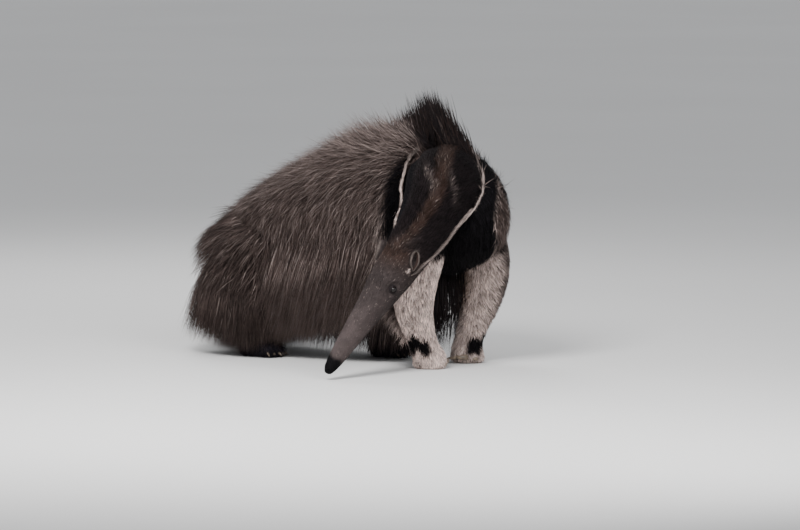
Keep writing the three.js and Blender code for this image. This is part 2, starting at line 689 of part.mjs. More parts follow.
addTube("torso", COAT_COLOUR, trunk, 0, 1, trunkLocks());
addTube("neck", COAT_COLOUR, neckAndHead, 0, headStart, neckLocks());
const headCore = (grow) => solid(neckAndHead.geometry(1, grow, headStart, 1));
addPiece("head", SNOUT_COLOUR, finishHead(headCore(0), 0), finishHead(headCore(GAP), GAP));
for (const [side, mirror] of [["left", 1], ["right", -1]]) {
  const eye = (grow) => solid(new THREE.SphereGeometry(EYE_RADIUS + grow, 20, 14)
    .translate(...headSpot(EYE_PLACE, mirror).toArray()));
  addPiece("eye_" + side, EYE_COLOUR, eye(0), eye(GAP));
  addPiece("ear_" + side, SNOUT_COLOUR, ear(mirror, 0), ear(mirror, GAP));

  const fore = new Tube(FORELEG_ROWS[side], () => FRONT, LEG_SIDES, LEG_RINGS);
  const elbow = fringe(fore, ELBOW_FRINGE, -mirror, 0);
  addTube("foreleg_" + side, LEG_COLOUR, fore, 0, 1, elbow);
  const [footX, footY] = FOREFOOT_CENTRE[side];
  FORE_CLAWS.forEach(({ length, root, forward, inward, height }, i) => {
    const start = new THREE.Vector3(footX + forward, footY - mirror * inward, height);
    const way = new THREE.Vector3(0.35, -mirror, 0.1).normalize();
    const endWay = new THREE.Vector3(-1, 0.25 * mirror, -0.1).normalize();
    const make = (grow) => claw(start, way, endWay, length, root, grow);
    addPiece("fore_claw_" + side + "_" + (i + 1), CLAW_COLOUR, make(0), make(GAP));
  });

  const hind = new Tube(HIND_LEG_ROWS[side], () => FRONT, LEG_SIDES, LEG_RINGS);
  const [heelX, heelY] = HIND_FOOT_CENTRE[side];
  const sole = HIND_FOOT_ROWS.map(([x, y, ...rest]) => [x + heelX, y + heelY, ...rest]);
  const foot = new Tube(sole, () => UP, LEG_SIDES, FOOT_RINGS);
  const leg = (grow) => solid(hind.geometry(CORE_SHARE, grow)).add(solid(foot.geometry(1, grow)));
  const haunch = fringe(hind, HAUNCH_FRINGE[side], -mirror, 0);
  addPiece("hind_leg_" + side, HIND_COLOUR, leg(0), leg(GAP), haunch);
  for (let i = 0; i < HIND_CLAW_COUNT; i++) {
    const across = (i - (HIND_CLAW_COUNT - 1) / 2) * HIND_CLAW_SPREAD;
    const start = new THREE.Vector3(heelX + 68 - Math.abs(across) * 0.35, heelY + across, 14);
    const way = new THREE.Vector3(1, across / 80, 0.1).normalize();
    const endWay = new THREE.Vector3(0.6, across / 80, -0.8).normalize();
    const make = (grow) => claw(start, way, endWay, HIND_CLAW_LENGTH, HIND_CLAW_ROOT, grow);
    addPiece("hind_claw_" + side + "_" + (i + 1), CLAW_COLOUR, make(0), make(GAP));
  }
}
["tail_base", "tail_middle", "tail_end"].forEach((name, i) => {
  const [from, to] = [TAIL_SPLITS[i], TAIL_SPLITS[i + 1]];
  const locks = tailLocks(Math.max(from, TAIL_LOCKS_FROM), Math.min(to, TAIL_LOCKS_TO));
  addTube(name, COAT_COLOUR, tail, from, to, locks);
});

const group = new THREE.Group();
const coatOf = (locks, grow) => joined(locks.map(({ spots, faces, width }) =>
  solid(blade(spots, faces, width + 2 * grow, LOCK_THICKNESS + 2 * grow))));
for (const piece of pieces) {
  if (piece.locks.length) {
    piece.coat = coatOf(piece.locks, 0);
    piece.grownCoat = coatOf(piece.locks, GAP);
  }
}
pieces.forEach((piece, i) => {
  let body = piece.core;
  for (let k = 0; k < i; k++) body = body.subtract(pieces[k].grown);
  if (piece.coat) {
    const others = pieces.filter((other) => other !== piece);
    const clear = others.reduce((coat, other) => coat.subtract(other.grown), piece.coat);
    body = body.add(clear);
  }
  for (let k = 0; k < i; k++) if (pieces[k].grownCoat) body = body.subtract(pieces[k].grownCoat);
  body = largest(body.subtract(floor));
  const geometry = cleanGeometry(largest(solid(cleanGeometry(body))));
  geometry.computeVertexNormals();
  const look = new THREE.MeshStandardMaterial({ color: piece.colour, roughness: 0.9, metalness: 0 });
  const object = new THREE.Mesh(geometry, look);
  object.name = piece.name;
  group.add(object);
});

const box = new THREE.Box3().setFromObject(group);
group.position.set(-(box.min.x + box.max.x) / 2, -(box.min.y + box.max.y) / 2, 0);

export default group;
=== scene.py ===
# %% [markdown]
# # A giant anteater, life size
# It stands with its head swung down to its right and its nose to the ground.
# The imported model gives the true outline, and this lesson dresses it: one skin over the whole body,
# glossy eyes, horny claws and a coat of thin solid tufts.
# Everything is in metres. X is the way the trunk faces, Y the animal's left and Z up.

import json
import math

import bpy
import numpy as np
from mathutils import Matrix, Vector
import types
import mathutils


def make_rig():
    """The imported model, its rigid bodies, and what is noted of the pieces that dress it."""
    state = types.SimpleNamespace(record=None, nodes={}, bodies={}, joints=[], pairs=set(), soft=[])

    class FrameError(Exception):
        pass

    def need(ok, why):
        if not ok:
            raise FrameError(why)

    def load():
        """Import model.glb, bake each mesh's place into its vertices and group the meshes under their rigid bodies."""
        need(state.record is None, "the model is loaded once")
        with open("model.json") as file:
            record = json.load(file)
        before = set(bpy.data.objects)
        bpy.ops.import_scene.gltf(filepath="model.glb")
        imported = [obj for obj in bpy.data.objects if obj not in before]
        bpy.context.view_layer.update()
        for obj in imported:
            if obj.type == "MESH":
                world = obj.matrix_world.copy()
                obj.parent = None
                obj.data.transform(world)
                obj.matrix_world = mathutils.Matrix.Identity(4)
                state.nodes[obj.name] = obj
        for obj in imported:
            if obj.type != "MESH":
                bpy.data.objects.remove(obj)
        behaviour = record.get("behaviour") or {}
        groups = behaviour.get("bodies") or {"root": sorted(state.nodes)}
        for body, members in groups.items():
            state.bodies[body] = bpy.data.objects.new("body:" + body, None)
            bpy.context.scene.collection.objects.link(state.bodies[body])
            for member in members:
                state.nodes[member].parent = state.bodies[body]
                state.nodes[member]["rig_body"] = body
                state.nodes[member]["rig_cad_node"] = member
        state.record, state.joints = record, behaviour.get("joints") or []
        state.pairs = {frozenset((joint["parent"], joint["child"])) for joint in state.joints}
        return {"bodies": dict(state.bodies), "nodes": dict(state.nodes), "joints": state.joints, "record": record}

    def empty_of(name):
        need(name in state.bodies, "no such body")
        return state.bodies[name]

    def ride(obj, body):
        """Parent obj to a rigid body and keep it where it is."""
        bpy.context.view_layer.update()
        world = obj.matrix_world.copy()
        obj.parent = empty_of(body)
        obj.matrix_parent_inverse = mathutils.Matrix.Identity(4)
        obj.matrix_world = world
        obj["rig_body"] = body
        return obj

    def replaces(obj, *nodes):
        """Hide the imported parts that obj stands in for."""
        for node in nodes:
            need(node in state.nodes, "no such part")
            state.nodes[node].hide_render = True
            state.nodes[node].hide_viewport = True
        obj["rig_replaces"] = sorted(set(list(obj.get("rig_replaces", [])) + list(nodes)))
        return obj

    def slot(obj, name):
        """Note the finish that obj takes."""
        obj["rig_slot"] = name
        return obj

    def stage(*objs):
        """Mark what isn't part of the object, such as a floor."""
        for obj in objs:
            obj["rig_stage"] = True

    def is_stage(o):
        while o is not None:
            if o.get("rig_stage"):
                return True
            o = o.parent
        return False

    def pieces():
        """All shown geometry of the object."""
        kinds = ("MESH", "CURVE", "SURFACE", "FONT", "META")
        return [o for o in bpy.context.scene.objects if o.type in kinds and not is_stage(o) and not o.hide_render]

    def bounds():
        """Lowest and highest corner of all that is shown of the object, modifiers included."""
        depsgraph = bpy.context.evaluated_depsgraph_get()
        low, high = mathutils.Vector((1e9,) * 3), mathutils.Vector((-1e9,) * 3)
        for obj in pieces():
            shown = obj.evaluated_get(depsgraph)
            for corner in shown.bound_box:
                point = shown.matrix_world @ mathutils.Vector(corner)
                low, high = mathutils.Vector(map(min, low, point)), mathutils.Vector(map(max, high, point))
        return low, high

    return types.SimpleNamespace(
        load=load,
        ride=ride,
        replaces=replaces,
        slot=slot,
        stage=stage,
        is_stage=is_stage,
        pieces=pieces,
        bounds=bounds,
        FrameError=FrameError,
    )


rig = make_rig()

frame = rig.load()
cad_box = [list(corner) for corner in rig.bounds()]
print("CAD box", cad_box)
random = np.random.default_rng(11)
MM = 0.001

# %% [markdown]
# ## The lines of the body
# A body like this is easiest to hold as a few tubes round bent spines: trunk, neck with head, tail
# and four legs. Each row below is one station along a spine: its centre, the half width of the
# skin, its reach up and down, and how far the tips of the coat stand off it at the sides, above and
# below. A sculpted mesh would do too, but rows can be read, measured and used twice: once for the
# skin and once for the coat that grows on it.

# %% Rows of the trunk, neck and head
TRUNK_ROWS = [
    (146, -14, 372, 30, 34, 34, 8, 8, 8),
    (116, -10, 376, 84, 92, 86, 14, 14, 16),
    (50, -4, 388, 112, 146, 126, 14, 30, 40),
    (-40, 0, 392, 122, 168, 138, 20, 58, 70),
    (-140, 0, 388, 128, 162, 142, 40, 70, 110),
    (-250, 0, 376, 134, 150, 136, 50, 88, 130),
    (-360, 0, 362, 134, 134, 126, 52, 68, 130),
    (-470, -2, 348, 128, 116, 110, 52, 46, 110),
    (-570, -6, 328, 112, 88, 96, 56, 42, 110),
    (-645, -8, 306, 84, 62, 84, 74, 40, 110),
    (-690, -8, 290, 30, 26, 34, 60, 34, 60),
]
NECK_ROWS = [
    (-40, 30, 425, 88, 84, 90, 10, 16, 10),
    (33, -62, 474, 92, 86, 106, 10, 34, 14),
    (60, -132, 424, 80, 75, 85, 9, 26, 14),
    (62, -188, 362, 67, 64, 68, 7, 14, 10),
    (52, -222, 318, 58, 55, 58, 5, 8, 6),
]
HEAD_BACK = np.array([44, -240, 292]) * MM
NOSE_TIP = np.array([-8, -476, 22]) * MM
CROWN = np.array([0.103, -0.758, 0.644])
# Distance from the head's back, then half width, rise, drop and sag.
HEAD_ROWS = [
    (2, 54, 50, 54, 0),
    (45, 52, 49, 52, 0),
    (95, 45, 44, 48, 0),
    (150, 37, 36, 42, 0),
    (225, 29, 28, 33, 0),
    (295, 22, 22, 26, -1),
    (335, 17, 17, 20, -2),
    (356, 13, 12, 14, -3),
    (365, 8, 7, 8, -3),
]
HEAD_COAT = 3

# %% Rows of the tail and legs
TAIL_ROWS = [
    (-590, 0, 345, 46, 46, 46, 16, 22, 60),
    (-670, 20, 330, 42, 40, 40, 22, 34, 120),
    (-745, 84, 300, 38, 36, 36, 40, 42, 180),
    (-820, 170, 268, 34, 32, 32, 60, 42, 205),
    (-895, 258, 230, 29, 28, 28, 72, 42, 204),
    (-965, 342, 190, 24, 24, 24, 80, 42, 168),
    (-1035, 422, 152, 19, 19, 19, 85, 40, 134),
    (-1100, 496, 118, 13, 13, 13, 80, 36, 106),
    (-1160, 566, 88, 8, 8, 8, 60, 30, 78),
]
# Both forelegs share their sections: half width, reach forward and back, and the coat on each.
FORELEG_SIZES = [
    (52, 72, 68, 6, 6, 6),
    (56, 64, 60, 10, 8, 18),
    (50, 56, 54, 12, 8, 26),
    (41, 47, 46, 8, 6, 20),
    (33, 37, 37, 6, 5, 12),
    (32, 35, 33, 6, 5, 8),
    (38, 48, 34, 4, 4, 4),
    (38, 50, 34, 4, 4, 4),
]
FORELEG_LEFT = [
    (-30, 78, 400), (0, 122, 310), (8, 138, 235), (5, 122, 160),
    (-6, 103, 100), (-13, 92, 60), (-17, 85, 26), (-17, 84, 0),
]
FORELEG_RIGHT = [
    (-30, -78, 400), (4, -128, 310), (8, -150, 235), (2, -147, 160),
    (0, -124, 100), (0, -106, 60), (0, -90, 26), (0, -88, 0),
]
HIND_LEFT = [
    (-510, 55, 345, 46, 78, 82, 10, 6, 20),
    (-460, 84, 285, 54, 92, 92, 14, 8, 60),
    (-386, 84, 220, 48, 74, 76, 12, 8, 70),
    (-318, 76, 150, 38, 50, 54, 18, 8, 50),
    (-283, 66, 90, 30, 37, 42, 8, 6, 16),
    (-272, 62, 46, 30, 38, 40, 6, 5, 8),
    (-268, 61, 16, 33, 44, 40, 5, 5, 6),
    (-266, 61, 0, 33, 44, 40, 5, 5, 6),
]
HIND_RIGHT = [
    (-565, -62, 350, 46, 84, 84, 10, 6, 20),
    (-580, -106, 290, 62, 104, 100, 46, 10, 76),
    (-572, -128, 220, 58, 92, 98, 50, 14, 96),
    (-546, -137, 150, 40, 62, 64, 42, 14, 96),
    (-536, -143, 90, 32, 40, 48, 20, 8, 60),
    (-535, -143, 46, 31, 38, 40, 8, 5, 14),
    (-536, -143, 16, 33, 44, 40, 5, 5, 8),
    (-535, -143, 0, 33, 44, 40, 5, 5, 8),
]
HIND_SOLES = [(-266, 61), (-535, -143)]
SOLE_ROWS = [
    (-48, 0, 20, 14, 12, 18, 2, 2, 2),
    (-34, 0, 26, 25, 20, 25, 3, 3, 3),
    (6, 0, 28, 35, 26, 27, 4, 4, 4),
    (48, 0, 22, 38, 19, 21, 4, 3, 3),
    (68, 0, 16, 31, 12, 15, 3, 3, 3),
    (76, 0, 13, 14, 6, 10, 2, 2, 2),
]

# %% [markdown]
# ## A tube that answers questions
# The class turns rows into a smooth tube. It can give the point at any place along it and round it,
# on the skin or out to the tips of the coat, for thousands of places at once. Blender's own curves
# with a bevel could draw such tubes, but only round ones, and a chest or a haunch isn't round.


# %% The tube
def unit(way):
    return way / np.maximum(np.linalg.norm(way, axis=-1, keepdims=True), 1e-9)


class Tube:
    def __init__(self, rows, up_of):
        self.rows = np.array(rows, float) * MM
        self.up_of = up_of
        self.rows[:, :2] += SHIFT
        spots = self.row(np.linspace(0, 1, 200))[:, :3]
        self.length = np.linalg.norm(np.diff(spots, axis=0), axis=1).sum()

    def row(self, s):
        last = len(self.rows) - 1
        place = np.clip(s, 0, 1) * last
        i = np.minimum(place.astype(int), last - 1)
        t = (place - i)[..., None]
        a, b, c, d = (self.rows[np.clip(i + k, 0, last)] for k in (-1, 0, 1, 2))
        bend = 2 * a - 5 * b + 4 * c - d
        swing = 3 * (b - c) + d - a
        return b + 0.5 * t * (c - a + t * (bend + t * swing))

    def frame(self, s):
        step = 0.004
        ahead = self.row(np.minimum(s + step, 1))[..., :3]
        behind = self.row(np.maximum(s - step, 0))[..., :3]
        along = unit(ahead - behind)
        up = self.up_of(s)
        up = unit(up - along * (up * along).sum(-1, keepdims=True))
        return self.row(s)[..., :3], along, up, np.cross(along, up)

    # Turn 0 is the ridge or a leg's front, a quarter one side and a half below or behind.
    def point(self, s, turn, share):
        centre, _, up, side = self.frame(s)
        row = self.row(s)
        angle = turn * 2 * math.pi
        above = np.cos(angle) > 0
        reach_up = np.where(above, row[..., 4], row[..., 5])
        reach_up = reach_up + share * np.where(above, row[..., 7], row[..., 8])
        reach_side = row[..., 3] + share * row[..., 6]
        across = (np.sin(angle) * reach_side)[..., None] * side
        return centre + across + (np.cos(angle) * reach_up)[..., None] * up

    def outward(self, s, turn):
        step = 0.01
        round_ = self.point(s, turn + step, 0.5) - self.point(s, turn - step, 0.5)
        ahead = self.point(np.minimum(s + step, 1), turn, 0.5)
        out = unit(np.cross(round_, ahead - self.point(np.maximum(s - step, 0), turn, 0.5)))
        away = self.point(s, turn, 0.5) - self.row(s)[..., :3]
        return out * np.sign((out * away).sum(-1, keepdims=True) + 1e-9)

# %% [markdown]
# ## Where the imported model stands
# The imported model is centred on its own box, while the rows above start from the withers.
# The left eye is a true ball, so a ball fitted to its points says how far everything has moved.


# %% Measure the shift
def ball_centre(points):
    for _ in range(8):
        left = np.c_[2 * points, np.ones(len(points))]
        fit = np.linalg.lstsq(left, (points**2).sum(1), rcond=None)[0]
        far = np.linalg.norm(points - fit[:3], axis=1) - math.sqrt(fit[3] + fit[:3] @ fit[:3])
        points = points[np.abs(far) <= max(np.percentile(np.abs(far), 85), 1e-6)]
    return fit[:3]


def points_of(piece):
    points = np.zeros(3 * len(piece.data.vertices))
    piece.data.vertices.foreach_get("co", points)
    return points.reshape(-1, 3)


head_way = unit(NOSE_TIP - HEAD_BACK)
head_left = unit(np.cross(CROWN, head_way))
EYE_PLACE = np.array([39.5, 11.5, 95]) * MM
EYE_RADIUS = 9 * MM


def head_turn(place, mirror=1):
    left, up, forward = place
    return left * mirror * head_left + up * CROWN + forward * head_way


def shift_of(eye, mirror):
    centre = ball_centre(points_of(frame["nodes"][eye]))
    return (centre - HEAD_BACK - head_turn(EYE_PLACE, mirror))[:2]


SHIFT = shift_of("eye_left", 1)
other = shift_of("eye_right", -1)
print("shift", SHIFT.round(5), "from the other eye", other.round(5))
head_back = HEAD_BACK + np.array([*SHIFT, 0])

# %% The tubes
UP = np.array([0.0, 0.0, 1.0])
FRONT = np.array([1.0, 0.0, 0.0])
head_rows = []
for distance, width, rise, drop, sag in HEAD_ROWS:
    centre = HEAD_BACK / MM + head_way * distance + CROWN * sag
    head_rows.append((*centre, width, rise, drop, HEAD_COAT, HEAD_COAT, HEAD_COAT))
HEAD_START = 4.6 / (len(NECK_ROWS) + len(head_rows) - 1)


def level(s):
    return np.broadcast_to(UP, (*np.shape(s), 3))


def upright(s):
    return np.broadcast_to(FRONT, (*np.shape(s), 3))


def foreleg_rows(centres):
    return [(*centre, *sizes) for centre, sizes in zip(centres, FORELEG_SIZES)]


def smooth(low, high, value):
    t = np.clip((value - low) / (high - low), 0, 1)
    return t * t * (3 - 2 * t)


def neck_up(s):
    part = smooth(0, HEAD_START, np.asarray(s, float))[..., None]
    return unit(UP * (1 - part) + CROWN * part)


trunk = Tube(TRUNK_ROWS, level)
neck = Tube(NECK_ROWS + head_rows, neck_up)
tail = Tube(TAIL_ROWS, level)
legs = {
    "foreleg_left": Tube(foreleg_rows(FORELEG_LEFT), upright),
    "foreleg_right": Tube(foreleg_rows(FORELEG_RIGHT), upright),
    "hind_leg_left": Tube(HIND_LEFT, upright),
    "hind_leg_right": Tube(HIND_RIGHT, upright),
}
soles = [Tube([(x + a, y + b, *rest) for x, y, *rest in SOLE_ROWS], level) for a, b in HIND_SOLES]
print("trunk", round(trunk.length, 3), "m, neck and head", round(neck.length, 3), "m long")

# %% [markdown]
# ## One skin
# Each tube is added as a flat grid, rolled up by placing its vertices, welded along its seam and
# closed at its ends. A voxel remesh then fuses them, so that no seam shows where a leg leaves the
# body. A Boolean union would keep the shapes exact, but it would leave hard creases at the joins.


# %% Roll a grid into a tube
def choose(*pieces):
    """Select these pieces and nothing else, and work on the first."""
    bpy.ops.object.select_all(action="DESELECT")
    for piece in pieces:
        piece.select_set(True)
    if pieces:
        bpy.context.view_layer.objects.active = pieces[0]


def weld():
    """Join the active piece's touching vertices, and leave it selected in edit mode."""
    bpy.ops.object.mode_set(mode="EDIT")
    bpy.ops.mesh.select_all(action="SELECT")
    bpy.ops.mesh.remove_doubles(threshold=1e-5)


def set_points(piece, points):
    piece.data.vertices.foreach_set("co", points.ravel())
    piece.data.update()


def tube_piece(tube, rings, sides):
    choose()
    bpy.ops.mesh.primitive_grid_add(x_subdivisions=rings, y_subdivisions=sides, size=2)
    piece = bpy.context.object
    flat = points_of(piece)
    set_points(piece, tube.point((flat[:, 0] + 1) / 2, (flat[:, 1] + 1) / 2, 0))
    weld()
    bpy.ops.mesh.fill_holes(sides=0)
    bpy.ops.mesh.select_all(action="SELECT")
    bpy.ops.mesh.normals_make_consistent(inside=False)
    bpy.ops.object.mode_set(mode="OBJECT")
    return piece


parts = [tube_piece(trunk, 90, 72), tube_piece(neck, 150, 64), tube_piece(tail, 70, 32)]
parts += [tube_piece(leg, 48, 36) for leg in legs.values()]
parts += [tube_piece(sole, 24, 28) for sole in soles]
print(len(parts), "tubes")

# %% Fuse them
VOXEL = 0.0062


def apply_modifier(piece, kind, **settings):
    choose(piece)
    modifier = piece.modifiers.new(kind.title(), kind)
    for name, value in settings.items():
        setattr(modifier, name, value)
    bpy.ops.object.modifier_apply(modifier=modifier.name)


skin = parts[0]
choose(*parts)
bpy.ops.object.join()
skin.name = "skin"
apply_modifier(skin, "REMESH", mode="VOXEL", voxel_size=VOXEL)
apply_modifier(skin, "SMOOTH", factor=0.5, iterations=4)
print("skin", len(skin.data.polygons), "faces")

# %% [markdown]
# ## Lids, mouth and nostrils
# The face needs finer faces than the body, so only the ones round the eyes and at the end of the
# snout are subdivided. Each feature is then a small push on those vertices: lids hug the eyeball,
# folds ring them, and the mouth is a short slit between lips.


# %% Refine round the features
EYE_ZONE = 30 * MM
SNOUT_FROM = 322 * MM
SNOUT_WIDE = 50 * MM


def head_place(points):
    away = points - head_back
    return np.stack([away @ head_left, away @ CROWN, away @ head_way], -1)


def from_feature(place, feature):
    """Distance from the nearer of two features that mirror each other on the head."""
    return np.linalg.norm(place * np.where(place[:, :1] < 0, [-1, 1, 1], 1) - feature, axis=1)


def face_values(piece, name, size):
    values = np.zeros(size * len(piece.data.polygons))
    piece.data.polygons.foreach_get(name, values)
    return values.reshape(-1, size) if size > 1 else values


# How far the finer faces reach past the features, coarse to fine. The finest are for the eyes only.
for reach in (6 * MM, 0, -13 * MM):
    place = head_place(face_values(skin, "center", 3))
    from_axis = np.linalg.norm(place[:, :2], axis=1)
    near_snout = (place[:, 2] > SNOUT_FROM - reach) & (from_axis < SNOUT_WIDE)
    near_eye = from_feature(place, EYE_PLACE) < EYE_ZONE + reach
    skin.data.polygons.foreach_set("select", near_eye | (near_snout & (reach >= 0)))
    skin.data.update()
    bpy.ops.object.mode_set(mode="EDIT")
    bpy.ops.mesh.select_mode(type="FACE")
    bpy.ops.mesh.subdivide(number_cuts=1, smoothness=0.6)
    bpy.ops.object.mode_set(mode="OBJECT")
print("skin", len(skin.data.polygons), "faces with the fine ones")

# %% Push the features in and out
LID_OPEN = np.array([8.4, 6.2]) * MM
LID_OVER = 1.3 * MM
LID_PUSH = 4 * MM
FOLD = 0.7 * MM
LOOK = [0.90, 0.41, 0.10]
MOUTH_DROP = 6 * MM
MOUTH_FROM = 331 * MM
LIP, LIP_AT, LIP_WIDE = 0.8 * MM, 2.6 * MM, 1.6 * MM
SLIT, SLIT_WIDE = 2.2 * MM, 1.1 * MM
NOSTRIL = np.array([6.5, 2.5, 361]) * MM
NOSTRIL_WIDE, NOSTRIL_DEEP = 3.2 * MM, 5 * MM


def bell(value, width):
    return np.exp(-((value / width) ** 2))


points = points_of(skin)
for mirror in (1, -1):
    out = unit(head_turn(LOOK, mirror))
    brow = unit(np.cross(out, head_way)) * mirror
    corner = np.cross(brow, out) * mirror
    away = points - head_back - head_turn(EYE_PLACE, mirror)
    along, above, depth = away @ corner, away @ brow, away @ out
    opening = np.sqrt((along / LID_OPEN[0]) ** 2 + (above / LID_OPEN[1]) ** 2)
    facing = depth > -0.004
    lid = np.sqrt(np.maximum((EYE_RADIUS + LID_OVER) ** 2 - along**2 - above**2, 0))
    blend = (1 - smooth(1.3, 3.2, opening)) * facing
    depth_new = depth * (1 - blend) + np.maximum(lid, depth - LID_PUSH) * blend
    ringed = smooth(1.2, 1.8, opening) - smooth(3, 5, opening)
    folds = FOLD * np.sin((opening - 1) * 4.4) * ringed
    depth_new += np.maximum(folds, -0.5 * MM) * facing
    inside = (opening < 1) & facing
    depth_new = np.where(inside, -0.002, depth_new)
    points += out * (depth_new - depth)[:, None]
place = head_place(points)
beside = unit(place * [1, 1, 0])
on_mouth = smooth(MOUTH_FROM, MOUTH_FROM + 0.006, place[:, 2])
height = np.abs(place[:, 1] + MOUTH_DROP)
lips = LIP * bell(height - LIP_AT, LIP_WIDE) - SLIT * bell(height, SLIT_WIDE)
points += (beside[:, :1] * head_left + beside[:, 1:2] * CROWN) * (lips * on_mouth)[:, None]
for mirror in (1, -1):
    pit = head_back + head_turn(NOSTRIL, mirror)
    hole = bell(np.linalg.norm(points - pit, axis=1), NOSTRIL_WIDE)
    points -= (head_way * NOSTRIL_DEEP) * hole[:, None]

# %% Rounded feet that rest on small flats
FOOT_ROUND = 6 * MM
ROUNDED_BELOW = 16 * MM
FOOT_WIDE = 100 * MM
for leg in legs.values():
    away = (points - leg.row(np.array(1.0))[:3]) * [1, 1, 0]
    far = np.linalg.norm(away, axis=1)
    low = np.clip(1 - points[:, 2] / ROUNDED_BELOW, 0, 1) ** 2 * (far < FOOT_WIDE)
    points -= unit(away) * (FOOT_ROUND * low)[:, None]
points[:, 2] = np.maximum(points[:, 2], 0)
set_points(skin, points)

# %% [markdown]
# ## Ears
# Small round cups. Each is a ball pulled long with a smaller ball taken out of it, which leaves a
# thin wall with a rounded rim. Their feet sink into the head, where short hair hides the join, and
# they become part of the skin.

# %% Ear cups
EAR_PLACE = np.array([57, 24, 8]) * MM
EAR_OUT = [0.81, 0.53, 0.255]
EAR_LONG = [-0.088, 0.54, -0.837]
EAR_OUTER = np.array([12.6, 28, 13]) * MM
EAR_INNER = np.array([9.2, 24.2, 12.5]) * MM
EAR_PINCH = 0.5
EAR_HOLLOW = 5.4 * MM
EAR_VOXEL = 1.1 * MM


def ball(radii, x, y, place, segments=40):
    choose()
    bpy.ops.mesh.primitive_uv_sphere_add(segments=segments, ring_count=segments // 2, radius=1)
    piece = bpy.context.object
    x, y = unit(np.array(x)), unit(np.array(y))
    z = unit(np.cross(x, y))
    turn = Matrix(np.array([x, np.cross(z, x), z]).T.tolist()).to_4x4()
    piece.data.transform(Matrix.Diagonal((*radii, 1)))
    piece.data.transform(Matrix.Translation(Vector(place)) @ turn)
    return piece


def ear_waist(along):
    """How much narrower the ear is towards its lower end."""
    return 1 - EAR_PINCH * smooth(-0.1, -1.0, along / EAR_OUTER[1])


def ear_place(points, spot, axes):
    """Places in an ear's own frame, as shares of its size."""
    place = (points - spot) @ axes.T
    place[:, 0] /= ear_waist(place[:, 1])
    return place / EAR_OUTER


ears = []
ear_frames = []
for mirror in (1, -1):
    ear_out, ear_long = unit(head_turn(EAR_OUT, mirror)), unit(head_turn(EAR_LONG, mirror))
    ear_across = np.cross(ear_long, ear_out)
    spot = head_back + head_turn(EAR_PLACE, mirror)
    ear_frames.append((spot, np.array([ear_across, ear_long, ear_out])))
    cup = ball(EAR_OUTER * 0.97, ear_across, ear_long, spot)
    hollow = ball(EAR_INNER, ear_across, ear_long, spot + ear_out * EAR_HOLLOW)
    apply_modifier(cup, "BOOLEAN", operation="DIFFERENCE", object=hollow, solver="EXACT")
    bpy.data.objects.remove(hollow)
    apply_modifier(cup, "REMESH", mode="VOXEL", voxel_size=EAR_VOXEL)
    apply_modifier(cup, "SMOOTH", factor=0.5, iterations=3)
    points = points_of(cup)
    across = (points - spot) @ ear_across
    narrow = across * (ear_waist((points - spot) @ ear_long) - 1)
    set_points(cup, points + narrow[:, None] * ear_across)
    ears.append(cup)
choose(skin, *ears)
bpy.ops.object.join()
bpy.ops.object.shade_smooth()
print("skin with ears", len(skin.data.polygons), "faces")

# %% [markdown]
# ## Which part is where
# Markings and hair both depend on the place on the body. Each face of the skin is therefore matched
# to the tube whose surface is nearest, with its place along and round that tube.

# %% Match the skin to the tubes
tubes = {"trunk": trunk, "neck": neck, "tail": tail, **legs}
PARTS = list(tubes)
SLACK = 0.012


def match(points):
    best = np.full(len(points), 1e9)
    part, s_at, turn_at = np.zeros(len(points), int), np.zeros(len(points)), np.zeros(len(points))
    for number, tube in enumerate(tubes.values()):
        s = np.linspace(0, 1, 160)
        centre, along, up, side = tube.frame(s)
        row = tube.row(s)
        for block in range(0, len(points), 4000):
            here = slice(block, block + 4000)
            away = points[here, None] - centre
            near = np.argmin((away**2).sum(-1), axis=1)
            away = points[here] - centre[near]
            x = (away * side[near]).sum(-1) / row[near, 3]
            y = (away * up[near]).sum(-1)
            y = np.where(y > 0, y / row[near, 4], y / row[near, 5])
            past = np.maximum(np.abs((away * along[near]).sum(-1)) - SLACK, 0)
            gap = np.hypot(np.abs(np.sqrt(x**2 + y**2) - 1) * row[near, 3], past)
            better = gap < best[here]
            best[here] = np.where(better, gap, best[here])
            part[here] = np.where(better, number, part[here])
            s_at[here] = np.where(better, s[near], s_at[here])
            turn_at[here] = np.where(better, np.arctan2(x, y) / (2 * math.pi), turn_at[here])
    return part, s_at, turn_at


face_at = face_values(skin, "center", 3)
face_out = face_values(skin, "normal", 3)
face_area = face_values(skin, "area", 1)
face_part, face_s, face_turn = match(face_at)
for number, name in enumerate(PARTS):
    print(name, round(face_area[face_part == number].sum(), 4), "square metres")

# %% [markdown]
# ## How the coat grows
# An anteater's hair is coarse and long, with pale bands that give a grizzled look. The export keeps
# no particle hair, so each tuft is a thin closed strand with three sides that narrows to a point.
# One function turns thousands of paths into strands at once. Each strand also gets a small patch
# in the map OFBake, at its root's place on the unrolled tube, so that it bakes to its own colour.

# %% Make strands from paths
PATCH = 0.003
TAPER = np.array([0.8, 1, 0.66])
RIDGE_SHARE = 0.8
coats = []


def add_tones(mesh, tones):
    layer = mesh.color_attributes.new("Coat", "FLOAT_COLOR", "POINT")
    layer.data.foreach_set("color", np.c_[tones, np.ones(len(tones))].astype(np.float32).ravel())


